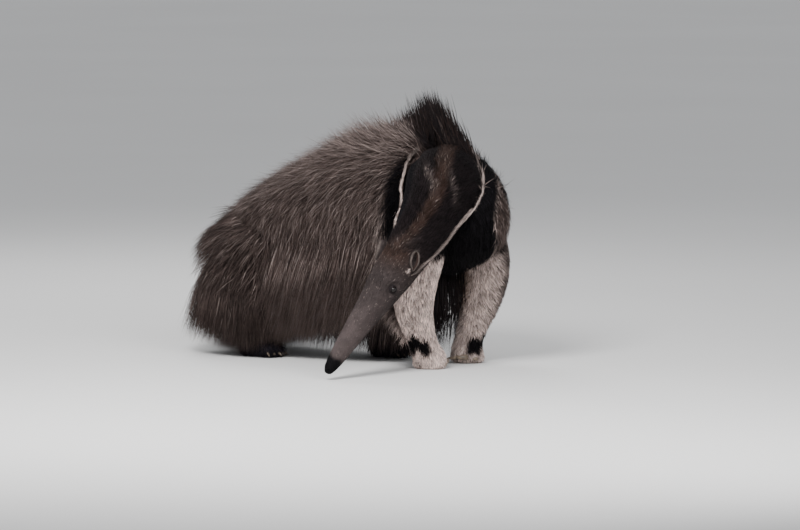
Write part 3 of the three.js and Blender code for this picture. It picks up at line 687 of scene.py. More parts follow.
def strands(name, paths, faces, widths, colours, roots, slot):
    """Three-sided tapered tubes with closed ends, one along each path."""
    count, steps = paths.shape[:2]
    way = unit(np.diff(paths, axis=1))
    across = unit(np.cross(way, faces[:, None]))
    ridge = unit(np.cross(across, way))
    half = (widths[:, None] * TAPER[-(steps - 1):] / 2)[..., None]
    start = paths[:, :-1]
    crest = start + ridge * half * RIDGE_SHARE
    rings = np.stack([start - across * half, start + across * half, crest], 2)
    points = np.concatenate([rings.reshape(count, -1, 3), paths[:, -1:]], 1)
    each = points.shape[1]
    one = [(0, 2, 1)]
    for i in range(steps - 2):
        for k in range(3):
            a, b = 3 * i + k, 3 * i + (k + 1) % 3
            one += [(a, b, b + 3), (a, b + 3, a + 3)]
    last = 3 * (steps - 2)
    one += [(last + k, last + (k + 1) % 3, each - 1) for k in range(3)]
    one = np.array(one)
    corners = (one[None] + each * np.arange(count)[:, None, None]).reshape(-1, 3)
    mesh = bpy.data.meshes.new(name)
    mesh.vertices.add(count * each)
    mesh.vertices.foreach_set("co", points.astype(np.float32).ravel())
    mesh.loops.add(corners.size)
    mesh.loops.foreach_set("vertex_index", corners.ravel().astype(np.int32))
    mesh.polygons.add(len(corners))
    mesh.polygons.foreach_set("loop_start", np.arange(0, corners.size, 3, dtype=np.int32))
    mesh.polygons.foreach_set("use_smooth", np.ones(len(corners), bool))
    steps_up = np.append(np.repeat(np.arange(steps - 1), 3), steps - 1) / (steps - 1)
    sideways = np.append(np.tile([0, 1, 0.5], steps - 1), 0.5)
    local = np.stack([sideways - 0.5, steps_up - 0.5], -1) * PATCH
    uv = (roots[:, None] * (1 - 2 * PATCH) + PATCH + local[None]).reshape(-1, 2)
    layer = mesh.uv_layers.new(name="OFBake")
    layer.data.foreach_set("uv", uv[corners.ravel()].astype(np.float32).ravel())
    shade = np.repeat(colours[:, :-1], 3, axis=1)
    add_tones(mesh, np.concatenate([shade, colours[:, -1:]], 1).reshape(-1, 3))
    mesh.update(calc_edges=True)
    piece = bpy.data.objects.new(name, mesh)
    bpy.context.scene.collection.objects.link(piece)
    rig.ride(piece, "root")
    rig.slot(piece, slot)
    coats.append(piece)
    print(name, count, "tufts", len(corners), "triangles")


# %% Spread roots evenly over the skin
def sow(part, count, where):
    area = np.where(face_part == PARTS.index(part), face_area, 0)
    if where is not None:
        area = area * where(face_s, face_turn, face_at)
    total = np.cumsum(area)
    pick = np.searchsorted(total, (np.arange(count) + random.random(count)) / count * total[-1])
    pick = np.minimum(pick, len(area) - 1)
    out = face_out[pick]
    aside = unit(np.cross(out, random.normal(0, 1, (count, 3))))
    root = face_at[pick] + aside * (np.sqrt(face_area[pick]) * 0.55 * random.random(count))[:, None]
    return root, out, face_s[pick], face_turn[pick]


def vary(count, by=0.2):
    return 1 + by * (2 * random.random(count) - 1)


# %% [markdown]
# ## Three ways for a tuft to lie
# On the back a long tuft lies along the body, rising from the skin to the tips of the coat. On the
# flank, haunch and tail it leaves the body and hangs to a hem. Both are worked out on the tube, so
# long hair can't run through the skin. Short fur simply leans over from where it grows.

# %% Lying, hanging and short tufts
STEPS = np.array([0, 0.5, 1.0])
LONG_STEPS = np.array([0, 0.32, 0.68, 1.0])
SINK, SHORT_SINK = 4 * MM, 1.2 * MM
LEAST_OUT, WIDEST_OUT = 12 * MM, 90 * MM
LEAST_FALL = 30 * MM
RISE_PAST_END = 0.4


def lying(tube, sown, length, lie, tip_share, stray, low_share):
    root, out, s, turn = sown
    girth = 2 * math.pi * tube.row(s)[:, 3:6].mean(1)
    run = length * np.cos(lie) / tube.length
    down = np.sign(turn) * length * np.sin(lie) / girth
    wander = random.normal(0, 1, (len(s), 3))
    base = root - tube.point(s, turn, 0)
    path = []
    for t in STEPS:
        here = s + run * t
        over = np.maximum(here - 1, 0)[:, None] * tube.length
        here = np.clip(here, 0, 1)
        share = low_share + (tip_share - low_share) * t**0.8
        spot = tube.point(here, turn + down * t, share)
        spot = spot + tube.frame(here)[1] * over * RISE_PAST_END + base * (1 - t)
        path.append(spot + wander * stray * t * t - out * SINK * (t == 0) * (low_share == 0))
    return np.stack(path, 1), out


def hanging(tube, sown, hem, reach, sweep, stray, standing, steps):
    root, out_way, s, turn = sown
    edge = tube.point(s, turn if standing else 0.25 * np.sign(turn), reach)
    flat = unit(tube.outward(s, turn) * [1, 1, 0])
    out = np.clip(((edge - root) * flat).sum(-1), LEAST_OUT, WIDEST_OUT)
    back = unit(tube.frame(s)[1] * [1, 1, 0])
    fall = np.maximum(root[:, 2] - hem, LEAST_FALL)
    wander = random.normal(0, 1, (len(s), 3)) * [1, 1, 0.3]
    path = []
    for t in steps:
        spot = root + flat * (out * t * (2 - t))[:, None] + back * (sweep * fall * t * t)[:, None]
        spot = spot - UP * (fall * t)[:, None] - out_way * SINK * (t == 0)
        path.append(spot + wander * stray * t * t)
    path = np.stack(path, 1)
    path[..., 2] = np.maximum(path[..., 2], 0.002 + 0.008 * random.random(len(s))[:, None])
    return path, flat


def laid_flat(way, out):
    return unit(way - out * (way * out).sum(-1, keepdims=True))


def leaning(sown, way, length, lift, stray):
    root, out = sown[:2]
    way = laid_flat(way, out)
    way = laid_flat(unit(way + random.normal(0, stray, way.shape)), out)
    path = []
    for t in STEPS:
        high = lift * math.sin(math.pi * 0.5 * min(1, 1.3 * t)) * length
        path.append(root + way * (length * t)[:, None]
                    + out * (high - SHORT_SINK * (t == 0))[:, None])
    path = np.stack(path, 1)
    path[..., 2] = np.maximum(path[..., 2], 0.8 * MM)
    return path, out


def unrolled(s, turn):
    return np.stack([turn + 0.5, s], -1)


# %% [markdown]
# ## Markings
# The coat is grizzled grey-brown. A black band runs from the throat and chest over the shoulder,
# with thin cream borders. The forelegs are cream with black wrists and the hind legs are dark.
# One function gives the colour at a place on a part, and both the skin and the tufts ask it.
# It also holds painted light: a painted sheen at the neck's whorls and painted shade inside the forelegs.

# %% Colours
BROWN = np.array([0.068, 0.049, 0.044])
GRIZZLE = np.array([0.37, 0.295, 0.27])
RUFOUS = np.array([0.040, 0.024, 0.019])
DUSK = np.array([0.008, 0.006, 0.007])
BLACK = np.array([0.005, 0.0042, 0.0052])
CREAM = np.array([0.82, 0.66, 0.60])
HEAD_GREY = np.array([0.039, 0.030, 0.029])
SNOUT_GREY = np.array([0.076, 0.059, 0.057])
BLUE_BLACK = np.array([0.012, 0.010, 0.014])
# The tan of the painted shade on the inner side of the forelegs.
SHADED_TAN = np.array([0.30, 0.17, 0.095])

# %% Lines of the markings
# Cream lines on the neck: the turn at which they run, at places along it.
NECK_LEFT = [[0, 0.196, 0.236, 0.285, 0.319, 0.357, 0.417, 0.45],
             [-0.33, -0.315, -0.33, -0.318, -0.30, -0.284, -0.27, -0.254]]
NECK_RIGHT = [[0, 0.2, 0.25, 0.30, 0.37, 0.40], [0.15, 0.07, 0.10, 0.17, 0.24, 0.26]]
NECK_RIDGE = [[0, 0.1, 0.13, 0.17, 0.2, 0.25, 0.29, 0.36, 0.4],
              [0, -0.035, -0.056, -0.088, -0.092, -0.08, -0.06, -0.01, 0.01]]
# Where the left line leaves the neck and runs up the front of the chest to the withers.
CHEST_LINE = np.array([
    (0.030, 0.030, 0.575), (0.075, 0.010, 0.540), (0.118, -0.012, 0.495), (0.136, -0.034, 0.452),
    (0.133, -0.060, 0.415), (0.131, -0.105, 0.382), (0.130, -0.139, 0.366),
])
WITHERS_LINE = np.array([
    (-0.042, -0.070, 0.563), (-0.055, -0.086, 0.543), (-0.063, -0.099, 0.524),
    (-0.060, -0.114, 0.493), (-0.058, -0.125, 0.459), (-0.054, -0.131, 0.421),
    (-0.053, -0.133, 0.408),
])
# The right edge of the black band behind the neck: place along the trunk at each turn.
BAND_EDGE = [[0.03, 0.08, 0.13, 0.166, 0.2, 0.25, 0.30, 0.35, 0.42, 0.5],
             [0.235, 0.275, 0.325, 0.348, 0.352, 0.36, 0.376, 0.38, 0.32, 0.22]]
# Where the black of the chest gives way to the brown outer side of the left shoulder.
SHOULDER_EDGE = 0.112
# The shoulder's black band on the left: centre and half width, in metres along and round the trunk.
BAND_AT = [0.12, 0.20, 0.30, 0.42, 0.56]
BAND_TURN = [0.16, 0.155, 0.14, 0.11, 0.08]
BAND_HALF = [0.080, 0.056, 0.036, 0.019, 0.0]
# Two whorls behind the ears, with a painted sheen of pale streaks where the black hair catches the light: start, turn,
# slope and strength.
SHEEN_WHORLS = ((0.125, 0.018, -1.8, 0.34), (0.122, -0.082, -2.2, 0.16))
PALE_SPOT = np.array([51, 13, 36]) * MM
EAR_PINK = np.array([0.050, 0.031, 0.027])
EAR_RIM = np.array([0.150, 0.122, 0.110])


def mix(a, b, part):
    return a + (b - a) * np.clip(np.asarray(part), 0, 1)[..., None]


def line_distance(points, line):
    best = np.full(len(points), 9.0)
    for a, b in zip(line[:-1], line[1:]):
        t = np.clip(((points - a) @ (b - a)) / ((b - a) @ (b - a)), 0, 1)
        best = np.minimum(best, np.linalg.norm(points - a - t[:, None] * (b - a), axis=1))
    return best


def stripe(distance, half):
    return 1 - smooth(half * 0.7, half * 1.3, distance)


def trunk_paint(raw, s, turn):
    x, y, z = raw.T
    low_side = smooth(0.18, 0.28, np.abs(turn))[:, None]
    along_back = stripe(np.abs(turn), 0.05) * smooth(0.3, 0.9, s)
    colour = mix(BROWN * (1 + 0.25 * low_side), RUFOUS, 0.6 * along_back)
    colour = mix(colour, DUSK, 0.9 * smooth(0.36, 0.30, s) * smooth(0.075, 0.045, np.abs(turn)))
    below = smooth(0.37, 0.45, np.abs(turn)) * smooth(0.12, 0.22, s + (turn < 0))
    colour = mix(colour, DUSK, 0.85 * below)
    # Front of the chest: from its border on the neck's left to the shoulder's outer side.
    border = np.interp(z, [0.29, 0.37, 0.457, 0.50], [0.118, 0.112, 0.030, -0.02])
    slant = (x * 0.766 + y * 0.643) - SHOULDER_EDGE - 0.004 * np.sin(z * 60)
    front = smooth(-0.03, 0.0, x) * smooth(0.002, -0.002, slant)
    outer_line = np.abs(slant - 0.003) + 9 * (x < -0.02) + 9 * (z > 0.50)
    # The right flank's band, behind the neck.
    edge = np.interp(-turn, *BAND_EDGE)
    right = smooth(0.004, -0.004, s - edge) * smooth(0.02, 0.05, -turn)
    right_line = np.abs(s - edge - 0.009) * 0.9
    # The left shoulder's band.
    centre = np.interp(s, BAND_AT, BAND_TURN)
    half = np.interp(s, BAND_AT, BAND_HALF)
    aside = np.abs(turn - centre) * 0.9
    left = smooth(0.004, -0.004, aside - half) * smooth(0.10, 0.13, s) * smooth(0.56, 0.5, s)
    left_line = np.abs(aside - half - 0.005) + 9 * (s < 0.17) + 9 * (s > 0.54)
    cream = np.maximum(0.25 * stripe(outer_line, 0.002),
                       0.35 * stripe(left_line, 0.0035) * smooth(0.56, 0.3, s))
    low = smooth(-0.20, -0.27, turn) * smooth(-0.36, -0.33, turn)
    cream = np.maximum(cream, stripe(right_line, 0.008) * low * 0.4)
    colour = mix(colour, CREAM, cream)
    colour = mix(colour, BLACK, np.maximum(np.maximum(front, right), left))
    colour = mix(colour, CREAM, 0.6 * stripe(line_distance(raw, CHEST_LINE), 0.0035))
    return mix(colour, CREAM, 0.5 * stripe(line_distance(raw, WITHERS_LINE), 0.003))


def neck_paint(raw, s, turn):
    left, right = np.interp(s, *NECK_LEFT), np.interp(s, *NECK_RIGHT)
    ridge = np.interp(s, *NECK_RIDGE)
    aside = np.abs(turn - ridge)
    colour = mix(np.tile(RUFOUS, (len(raw), 1)), DUSK, 0.93 * smooth(0.012, 0.045, aside))
    # Painted sheen: pale streaks at the neck's whorls stand in for light on the black hair.
    for start, from_turn, slope, strength in SHEEN_WHORLS:
        along = (s - start - 0.022) / 0.026
        sheen = np.exp(-(along**2) - ((turn - from_turn - slope * (s - start)) / 0.016) ** 2)
        colour = mix(colour, GRIZZLE, strength * sheen)
    colour = mix(colour, BROWN, smooth(0.24, 0.36, s) * (0.05 + 0.4 * smooth(0.12, 0.03, aside)))
    girth = np.interp(s, [0, 0.3, 0.4], [0.55, 0.42, 0.36])
    colour = mix(colour, BLACK, smooth(0, -0.01, turn - left) * smooth(0.42, 0.30, s))
    colour = mix(colour, BLACK, smooth(0, 0.01, turn - right) * smooth(0.42, 0.30, s))
    shown = smooth(0.16, 0.20, s) * smooth(0.45, 0.37, s) * (0.6 + 0.4 * smooth(0.35, 0.25, s))
    colour = mix(colour, CREAM, stripe(np.abs(turn - left) * girth, 0.0013) * shown)
    head = mix(np.tile(RUFOUS, (len(raw), 1)), HEAD_GREY, smooth(0.40, 0.52, s))
    head = mix(head, HEAD_GREY, 0.7 * smooth(0.08, 0.2, np.abs(turn)))
    head = mix(head, SNOUT_GREY, smooth(0.52, 0.78, s))
    head = mix(head, DUSK, 0.55 * smooth(0.30, 0.45, np.abs(turn)))
    head = mix(head, BLACK * 0.5, smooth(0.80, 0.835, s + 0.006 * np.sin(turn * 19)))
    colour = mix(colour, head, smooth(0.30, 0.43, s))
    place = head_place(raw + np.array([*SHIFT, 0]))
    colour = mix(colour, DUSK, 0.75 * smooth(0.0145, 0.0105, from_feature(place, EYE_PLACE)))
    return mix(colour, CREAM, 0.8 * smooth(0.0065, 0.0035, from_feature(place, PALE_SPOT)))


def ear_paint(points, colour):
    """The same colours with the ears' own laid over them."""
    for spot, axes in ear_frames:
        place = ear_place(points, spot, axes)
        far = np.linalg.norm(place, axis=1)
        rim = smooth(0.05, 0.45, place[:, 2]) * smooth(0.72, 0.90, far)
        hollow = smooth(-0.35, -0.15, place[:, 2]) * smooth(0.92, 0.78, far)
        own = mix(np.tile(HEAD_GREY * 1.1, (len(points), 1)), EAR_PINK, hollow)
        own = mix(own, DUSK, 0.8 * hollow * smooth(0.7, 0.3, far))
        colour = mix(colour, mix(own, EAR_RIM, rim), smooth(1.25, 1.05, far))
    return colour


def foreleg_paint(raw, s, turn, mirror):
    z = raw[:, 2]
    outer = -turn * mirror
    wander = 0.008 * np.sin(turn * 21) + 0.006 * np.sin(turn * 47 + 1)
    # Painted shade: the inner side of each foreleg, which faces sideways and gets less light, is mixed towards tan.
    inner_shade = smooth(0.22, 0.34, -outer) * smooth(0.10, 0.2, z)
    colour = mix(np.tile(CREAM, (len(raw), 1)), SHADED_TAN, 0.55 * inner_shade)
    brown = smooth(0.35, 0.41, np.abs(turn))
    if mirror > 0:
        brown = np.maximum(brown, smooth(-0.06, 0.02, outer))
    colour = mix(colour, BROWN * 0.8, 0.9 * brown * smooth(0.08, 0.17, z))
    colour = colour * (0.76 if mirror > 0 else 1)
    low, high = (0.026, 0.082) if mirror > 0 else (0.040, 0.092)
    wrist = smooth(low, low + 0.01, z + wander) * smooth(high, high - 0.01, z + wander)
    around = smooth(0.02, 0.08, outer) if mirror < 0 else smooth(-0.19, -0.13, outer)
    colour = mix(colour, BLACK, wrist * around * smooth(0.45, 0.36, outer))
    top = smooth(0.30, 0.2, outer)
    if mirror > 0:
        top = smooth(0.05, -0.01, outer) * smooth(0.44, 0.38, -outer)
    return mix(colour, BLACK, smooth(0.288, 0.300, z + wander * 0.5) * top)


def paint(part, points, s, turn):
    """The coat's own colour at a place."""
    raw = points - np.array([*SHIFT, 0])
    if part == "trunk":
        return trunk_paint(raw, s, turn)
    if part == "neck":
        return ear_paint(points, neck_paint(raw, s, turn))
    if part.startswith("foreleg"):
        return foreleg_paint(raw, s, turn, 1 if part.endswith("left") else -1)
    if part == "hind_leg_left":
        return np.tile(BLUE_BLACK, (len(raw), 1))
    if part == "hind_leg_right":
        return mix(np.tile(BROWN * 0.9, (len(raw), 1)), BLUE_BLACK, smooth(0.10, 0.06, raw[:, 2]))
    return np.tile(BROWN * 0.85, (len(raw), 1))


CLUMP_WAYS = random.normal(0, 1, (7, 3))
CLUMP_STARTS = random.random(7) * 6.3


def clumps(points, size):
    """An uneven tone around 0 that close tufts share, as hair clings together in locks."""
    return np.sin(points @ CLUMP_WAYS.T / size * 2 + CLUMP_STARTS).mean(1) * 2.2


def tuft_colours(part, points, s, turn, steps, pale):
    base = paint(part, points, s, turn)
    count = len(points)
    tone = (0.5 + random.random(count))[:, None]
    shade = base.mean(1, keepdims=True)
    even = smooth(0.2, 0.4, shade)
    on_head = smooth(0.36, 0.5, s)[:, None] * (part == "neck")
    tone = tone + (1 - tone) * 0.6 * on_head
    tone = tone + 0.34 * clumps(points, 0.007)[:, None] * (1 - 0.6 * on_head)
    tone = np.clip(tone, 0.25, 1.9)
    light = (random.random(count) < pale)[:, None] * (0.35 + 0.65 * random.random(count))[:, None]
    light = light * smooth(0.018, 0.035, shade) * (1 - even)
    band = random.choice([0.5, 1.0], count)[:, None]
    dark = 0.5 - 0.12 * even
    rings = []
    for t in np.linspace(0, 1, steps):
        ring = base * tone * (dark + (1.15 - dark) * t)
        rings.append(ring + (GRIZZLE - ring) * light * np.exp(-(((t - band) / 0.3) ** 2)))
    return np.stack(rings, 1)

# %% [markdown]
# ## The coat, part by part
# Long tufts lie back and down over the back, turn to hang on the flanks, and shrink to short fur on
# the chest, legs and face. A second set of short thin guard hairs, half of them pale, gives the
# grizzled glitter of the back.

# %% Growers
def finish(name, part, sown, paths, faces, width, spread, pale, slot):
    """Colour the paths of one piece and turn them into strands."""
    root, out, s, turn = sown
    share = pale(s, turn) if callable(pale) else pale
    colours = tuft_colours(part, root, s, turn, paths.shape[1], share)
    strands(name, paths, faces, width * vary(len(s), spread), colours, unrolled(s, turn), slot)


def grow_lying(name, part, count, lie, length, tip, width, where, stray=0.010, pale=0.4,
               low_share=0.0, slot="body_coat"):
    sown = sow(part, count, where)
    s, turn = sown[2:]
    paths, faces = lying(tubes[part], sown, length(s, turn) * vary(count, 0.3),
                         lie(s, turn) + 0.18 * random.normal(0, 1, count),
                         tip(s, turn) * vary(count, 0.3), stray, low_share)
    paths[..., 2] = np.maximum(paths[..., 2], 1 * MM)
    finish(name, part, sown, paths, faces, width, 0.35, pale, slot)


def grow_hanging(name, part, count, hem, reach, sweep, width, where, stray=0.012, standing=False,
                 pale=0.2, steps=STEPS, slot="body_coat"):
    sown = sow(part, count, where)
    s, turn = sown[2:]
    paths, faces = hanging(tubes[part], sown, hem(s, turn) + 0.035 * random.random(count) ** 2,
                           reach(s, turn) * vary(count, 0.3), sweep * vary(count), stray,
                           standing, steps)
    finish(name, part, sown, paths, faces, width, 0.35, pale, slot)


def grow_short(name, part, count, way, length, lift, width, where, stray=0.25, pale=0.2,
               slot="short_coat"):
    sown = sow(part, count, where)
    root, out, s, turn = sown
    rise = lift(root) if callable(lift) else lift
    lengths = length(s, turn) * vary(count, 0.3)
    paths, faces = leaning(sown, way(root, s, turn), lengths, rise, stray)
    finish(name, part, sown, paths, faces, width, 0.3, pale, slot)


def ramp(at, values):
    return lambda s, turn: np.interp(s, at, values)


def flat(value):
    return lambda s, turn: np.full(len(s), value)


def down(root, s, turn):
    return np.tile([0.0, 0.0, -1.0], (len(s), 1))


# %% Back and shoulders
def back_lie(s, turn):
    return 0.30 + 1.0 * smooth(0.02, 0.22, np.abs(turn)) + 0.2 * smooth(0.85, 1, s)


def short_by_band(s, turn):
    """Nearly one on the open back, small in and beside the black band of the right shoulder."""
    edge = np.interp(-turn, [0, *BAND_EDGE[0][:7]], [0, *BAND_EDGE[1][:7]])
    return 0.25 + 0.75 * smooth(0, 0.05, s - edge)


def back_where(s, turn, at):
    aside = np.abs(turn)
    return smooth(0.34, 0.26, aside) * (s > 0.07) * (1 + 0.6 * smooth(0.12, 0.05, aside))


def guard_where(s, turn, at):
    aside = np.abs(turn)
    return smooth(0.36, 0.24, aside) * (s > 0.31) * (1 + 0.8 * smooth(0.16, 0.06, aside))


def guard_pale(s, turn):
    return 0.62 - 0.25 * smooth(0.08, 0.2, np.abs(turn))


def back_length(s, turn):
    length = np.interp(s, [0, 0.15, 0.3, 0.42, 0.75, 0.88, 1],
                       [0.022, 0.035, 0.065, 0.105, 0.115, 0.08, 0.045])
    return length * short_by_band(s, turn)


def back_tip(s, turn):
    middle = np.interp(s, [0, 0.2, 0.4, 0.65, 0.82, 1], [0.5, 0.6, 0.85, 0.85, 0.5, 0.4])
    return middle + 0.55 * smooth(0.08, 0.18, np.abs(turn)) * smooth(0.68, 0.85, s)


guard_tip = ramp([0, 0.4, 0.62, 0.82, 1], [1.1, 1.1, 1.0, 0.66, 0.55])
guard_length = ramp([0, 0.4, 1], [0.02, 0.040, 0.050])
for side, mirror, count, guards in (("left", 1, 7500, 4000), ("right", -1, 9000, 10500)):
    grow_lying(f"coat_back_{side}", "trunk", count, back_lie, back_length, back_tip, 0.0018,
               lambda s, t, at: back_where(s, t, at) * (t * mirror > 0), pale=0.18)
    grow_lying(f"guard_back_{side}", "trunk", guards, back_lie, guard_length, guard_tip, 0.0013,
               lambda s, t, at: guard_where(s, t, at) * (t * mirror > 0), stray=0.012,
               pale=guard_pale, low_share=0.45)


# %% Hanging flanks
def flank_hem(s, turn):
    at = [0, 0.2, 0.33, 0.4, 0.6, 0.8, 1]
    high = np.interp(s, at, [0.30, 0.28, 0.24, 0.17, 0.13, 0.10, 0.08])
    low = np.interp(s, at, [0.27, 0.26, 0.20, 0.085, 0.04, 0.008, 0.008])
    part = smooth(0.20, 0.36, np.abs(turn))
    return high * (1 - part) + low * part


def flank_reach(s, turn):
    return 0.92 - 0.67 * smooth(0.22, 0.42, np.abs(turn))


def flank_where(s, turn, at):
    begin = s - 0.05 * smooth(0.24, 0.34, np.abs(turn))
    return smooth(0.19, 0.25, np.abs(turn)) * (begin > 0.335) * (s < 0.97) * (np.abs(turn) < 0.45)


for side, mirror, count in (("left", 1, 5500), ("right", -1, 12000)):
    grow_hanging(f"coat_flank_{side}", "trunk", count, flank_hem, flank_reach, 0.12, 0.0020,
                 lambda s, t, at: flank_where(s, t, at) * (t * mirror > 0), pale=0.3)


# %% Chest and belly
def chest_where(s, turn, at):
    clear = smooth(0.004, 0.011, line_distance(at - [*SHIFT, 0], CHEST_LINE))
    return (s < 0.34) * smooth(0.0, 0.06, np.maximum(np.abs(turn), 0.10 - s)) * clear


def chest_length(s, turn):
    return 0.020 + 0.022 * smooth(0.12, 0.36, np.abs(turn)) + 0.01 * smooth(0.05, 0.3, s)


grow_short("coat_chest", "trunk", 6800, down, chest_length, 0.30, 0.0020, chest_where, pale=0.15,
           slot="dark_coat")
grow_hanging("coat_belly", "trunk", 3500, ramp([0, 0.24, 0.3, 1], [0.20, 0.06, 0.015, 0.01]),
             flat(0.15), 0.1, 0.003, lambda s, t, at: (np.abs(t) > 0.40) * (s > 0.27),
             standing=True, pale=0.1)

# %% Tuft at the withers
TUFT_COUNT = 3600
TUFT_FROM, TUFT_TO = np.array([-0.200, 0.004]), np.array([0.050, -0.012])
TUFT_TOP = np.array([-0.050, 0.0, 0.708])
place = random.random(TUFT_COUNT) ** 0.85
spread = random.normal(0, 0.017, (TUFT_COUNT, 2))
ground = TUFT_FROM + (TUFT_TO - TUFT_FROM) * place[:, None] + spread + SHIFT
tuft_s = np.interp(SHIFT[0] - ground[:, 0], [-0.146, -0.05, 0.04, 0.14, 0.25],
                   [0, 0.2, 0.3, 0.4, 0.5])
tuft_turn = (ground[:, 1] - SHIFT[1]) / 0.9
low = trunk.point(tuft_s, tuft_turn, 0)
top = TUFT_TOP + [*SHIFT, 0]
hump = np.interp(place, [0, 0.3, 0.62, 0.72, 1], [0.30, 0.52, 0.97, 0.92, 0.30])
tall = hump * (1 - 0.45 * random.random(TUFT_COUNT) ** 1.3)
high = low + (top - low) * tall[:, None] * [0.25, 0.35, 1]
high = high + random.normal(0, 0.010, (TUFT_COUNT, 3))
bend = np.array([-0.030, 0, 0])
paths = [low + (high - low) * t + bend * t * t - UP * 0.006 * (t == 0) for t in LONG_STEPS]
dark = mix(np.tile(DUSK * 0.7, (TUFT_COUNT, 1)), RUFOUS, 0.5 * random.random(TUFT_COUNT) ** 2)
frosted = random.random(TUFT_COUNT) < 0.06
dark = mix(dark, GRIZZLE, 0.12 * frosted + 0.12 * smooth(0.4, 0.1, place))
shades = np.stack([dark * (0.6 + 0.5 * t) for t in LONG_STEPS], 1)
strands("coat_tuft", np.stack(paths, 1), np.tile([0.6, -0.8, 0.0], (TUFT_COUNT, 1)),
        0.0017 * vary(TUFT_COUNT), shades, unrolled(tuft_s, tuft_turn), "dark_coat")


# %% Haunches
def haunch_lift(root):
    return 0.12 + 0.32 * smooth(0.38, 0.31, root[:, 2])


def haunch_top_where(s, turn, at):
    return smooth(0.17, 0.22, at[:, 2]) * (1 + 2.5 * smooth(0.27, 0.32, at[:, 2]))


grow_hanging("coat_haunch_right", "hind_leg_right", 9500,
             ramp([0, 0.2, 0.4, 0.6], [0.09, 0.05, 0.012, 0.005]),
             ramp([0, 0.3, 0.6], [1.0, 0.85, 0.7]), 0, 0.0021,
             lambda s, t, at: (s < 0.62) * 1.0, standing=True, pale=0.05)
grow_short("coat_haunch_top", "hind_leg_right", 4000,
           lambda r, s, t: np.tile([-0.45, -0.1, -1.0], (len(s), 1)), flat(0.085), haunch_lift,
           0.0020, haunch_top_where, pale=0.12, slot="body_coat")
grow_short("coat_hock_right", "hind_leg_right", 1500, down, flat(0.022), 0.25, 0.0022,
           lambda s, t, at: (s > 0.55) * 1.0, slot="dark_coat")
grow_hanging("coat_thigh_left", "hind_leg_left", 2400, ramp([0, 0.3, 0.6], [0.12, 0.07, 0.03]),
             flat(0.9), 0, 0.0026, lambda s, t, at: (s < 0.5) * (np.abs(t) > 0.15),
             standing=True, pale=0.15)
grow_short("coat_hind_left", "hind_leg_left", 3500, down, ramp([0, 0.5, 1], [0.045, 0.03, 0.014]),
           0.25, 0.0022, None, slot="dark_coat")

# %% Forelegs
def leg_way(root, s, mirror):
    """Down, and on the upper left leg outwards as well."""
    aside = np.array([0.0, 0.8, 0.0]) if mirror > 0 else np.zeros(3)
    return aside * smooth(0.75, 0.45, s)[:, None] - UP


for side, mirror in (("left", 1), ("right", -1)):
    part = f"foreleg_{side}"
    grow_short(f"coat_foreleg_{side}", part, 7500, lambda r, s, t: leg_way(r, s, mirror),
               ramp([0, 0.3, 0.7, 1], [0.022, 0.019, 0.014, 0.010]), 0.30, 0.0025, None,
               stray=0.22, slot="pale_coat")
    grow_hanging(f"fringe_foreleg_{side}", part, 900, ramp([0, 0.3, 0.6], [0.19, 0.12, 0.06]),
                 flat(1.5), 0, 0.0018,
                 lambda s, t, at: (np.abs(t) > 0.40) * (at[:, 2] < 0.275) * (s < 0.62),
                 standing=True, pale=0.1, slot="pale_coat", stray=0.006)


# %% Neck and head
def clear_of_eyes(at):
    return (from_feature(head_place(at), EYE_PLACE) > 12.5 * MM) * 1.0


def clear_of_ears(at):
    clear = np.ones(len(at))
    for spot, axes in ear_frames:
        place = ear_place(at, spot, axes)
        clear = clear * ((np.linalg.norm(place, axis=1) > 1.12) | (place[:, 2] < -0.35))
    return clear


def towards_body(root, s, turn):
    return -neck.frame(s)[1]


def neck_way(root, s, turn):
    return towards_body(root, s, turn) + np.array([0, 0, -0.35])


def mane_where(s, turn, at):
    ridge = np.interp(s, *NECK_RIDGE)
    return smooth(0.42, 0.36, s) * smooth(0.035, 0.015, np.abs(turn - ridge))


def neck_length(s, turn):
    line = np.minimum(np.abs(turn - np.interp(s, *NECK_LEFT)),
                      np.abs(turn - np.interp(s, *NECK_RIGHT)))
    length = np.interp(s, [0, 0.15, 0.36, 0.5], [0.034, 0.020, 0.014, 0.010])
    return length * (0.4 + 0.6 * smooth(0.01, 0.05, line))


def neck_where(s, turn, at):
    return smooth(0.46, 0.34, s) * (1 + smooth(0.3, 0.1, s)) * clear_of_ears(at)


def head_where(s, turn, at):
    return smooth(0.33, 0.40, s) * (s < 0.965) * clear_of_eyes(at) * clear_of_ears(at)


grow_short("coat_neck", "neck", 11500, neck_way, neck_length, 0.22, 0.0017, neck_where, pale=0.08)
grow_short("mane_neck", "neck", 1500, towards_body, ramp([0, 0.2, 0.42], [0.034, 0.022, 0.010]),
           0.36, 0.0013, mane_where, stray=0.3, pale=0.08)
grow_short("coat_head", "neck", 11500, towards_body,
           ramp([0.34, 0.5, 0.7, 1], [0.013, 0.0085, 0.006, 0.0035]), 0.16, 0.0010, head_where,
           stray=0.15, pale=0.06)

# %% [markdown]
# ## Cream borders
# Where black meets brown, a fine line of pale hair lies along the border. It is drawn hair by hair
# along a path in space, since the hair around it lies another way and would fray a painted line.

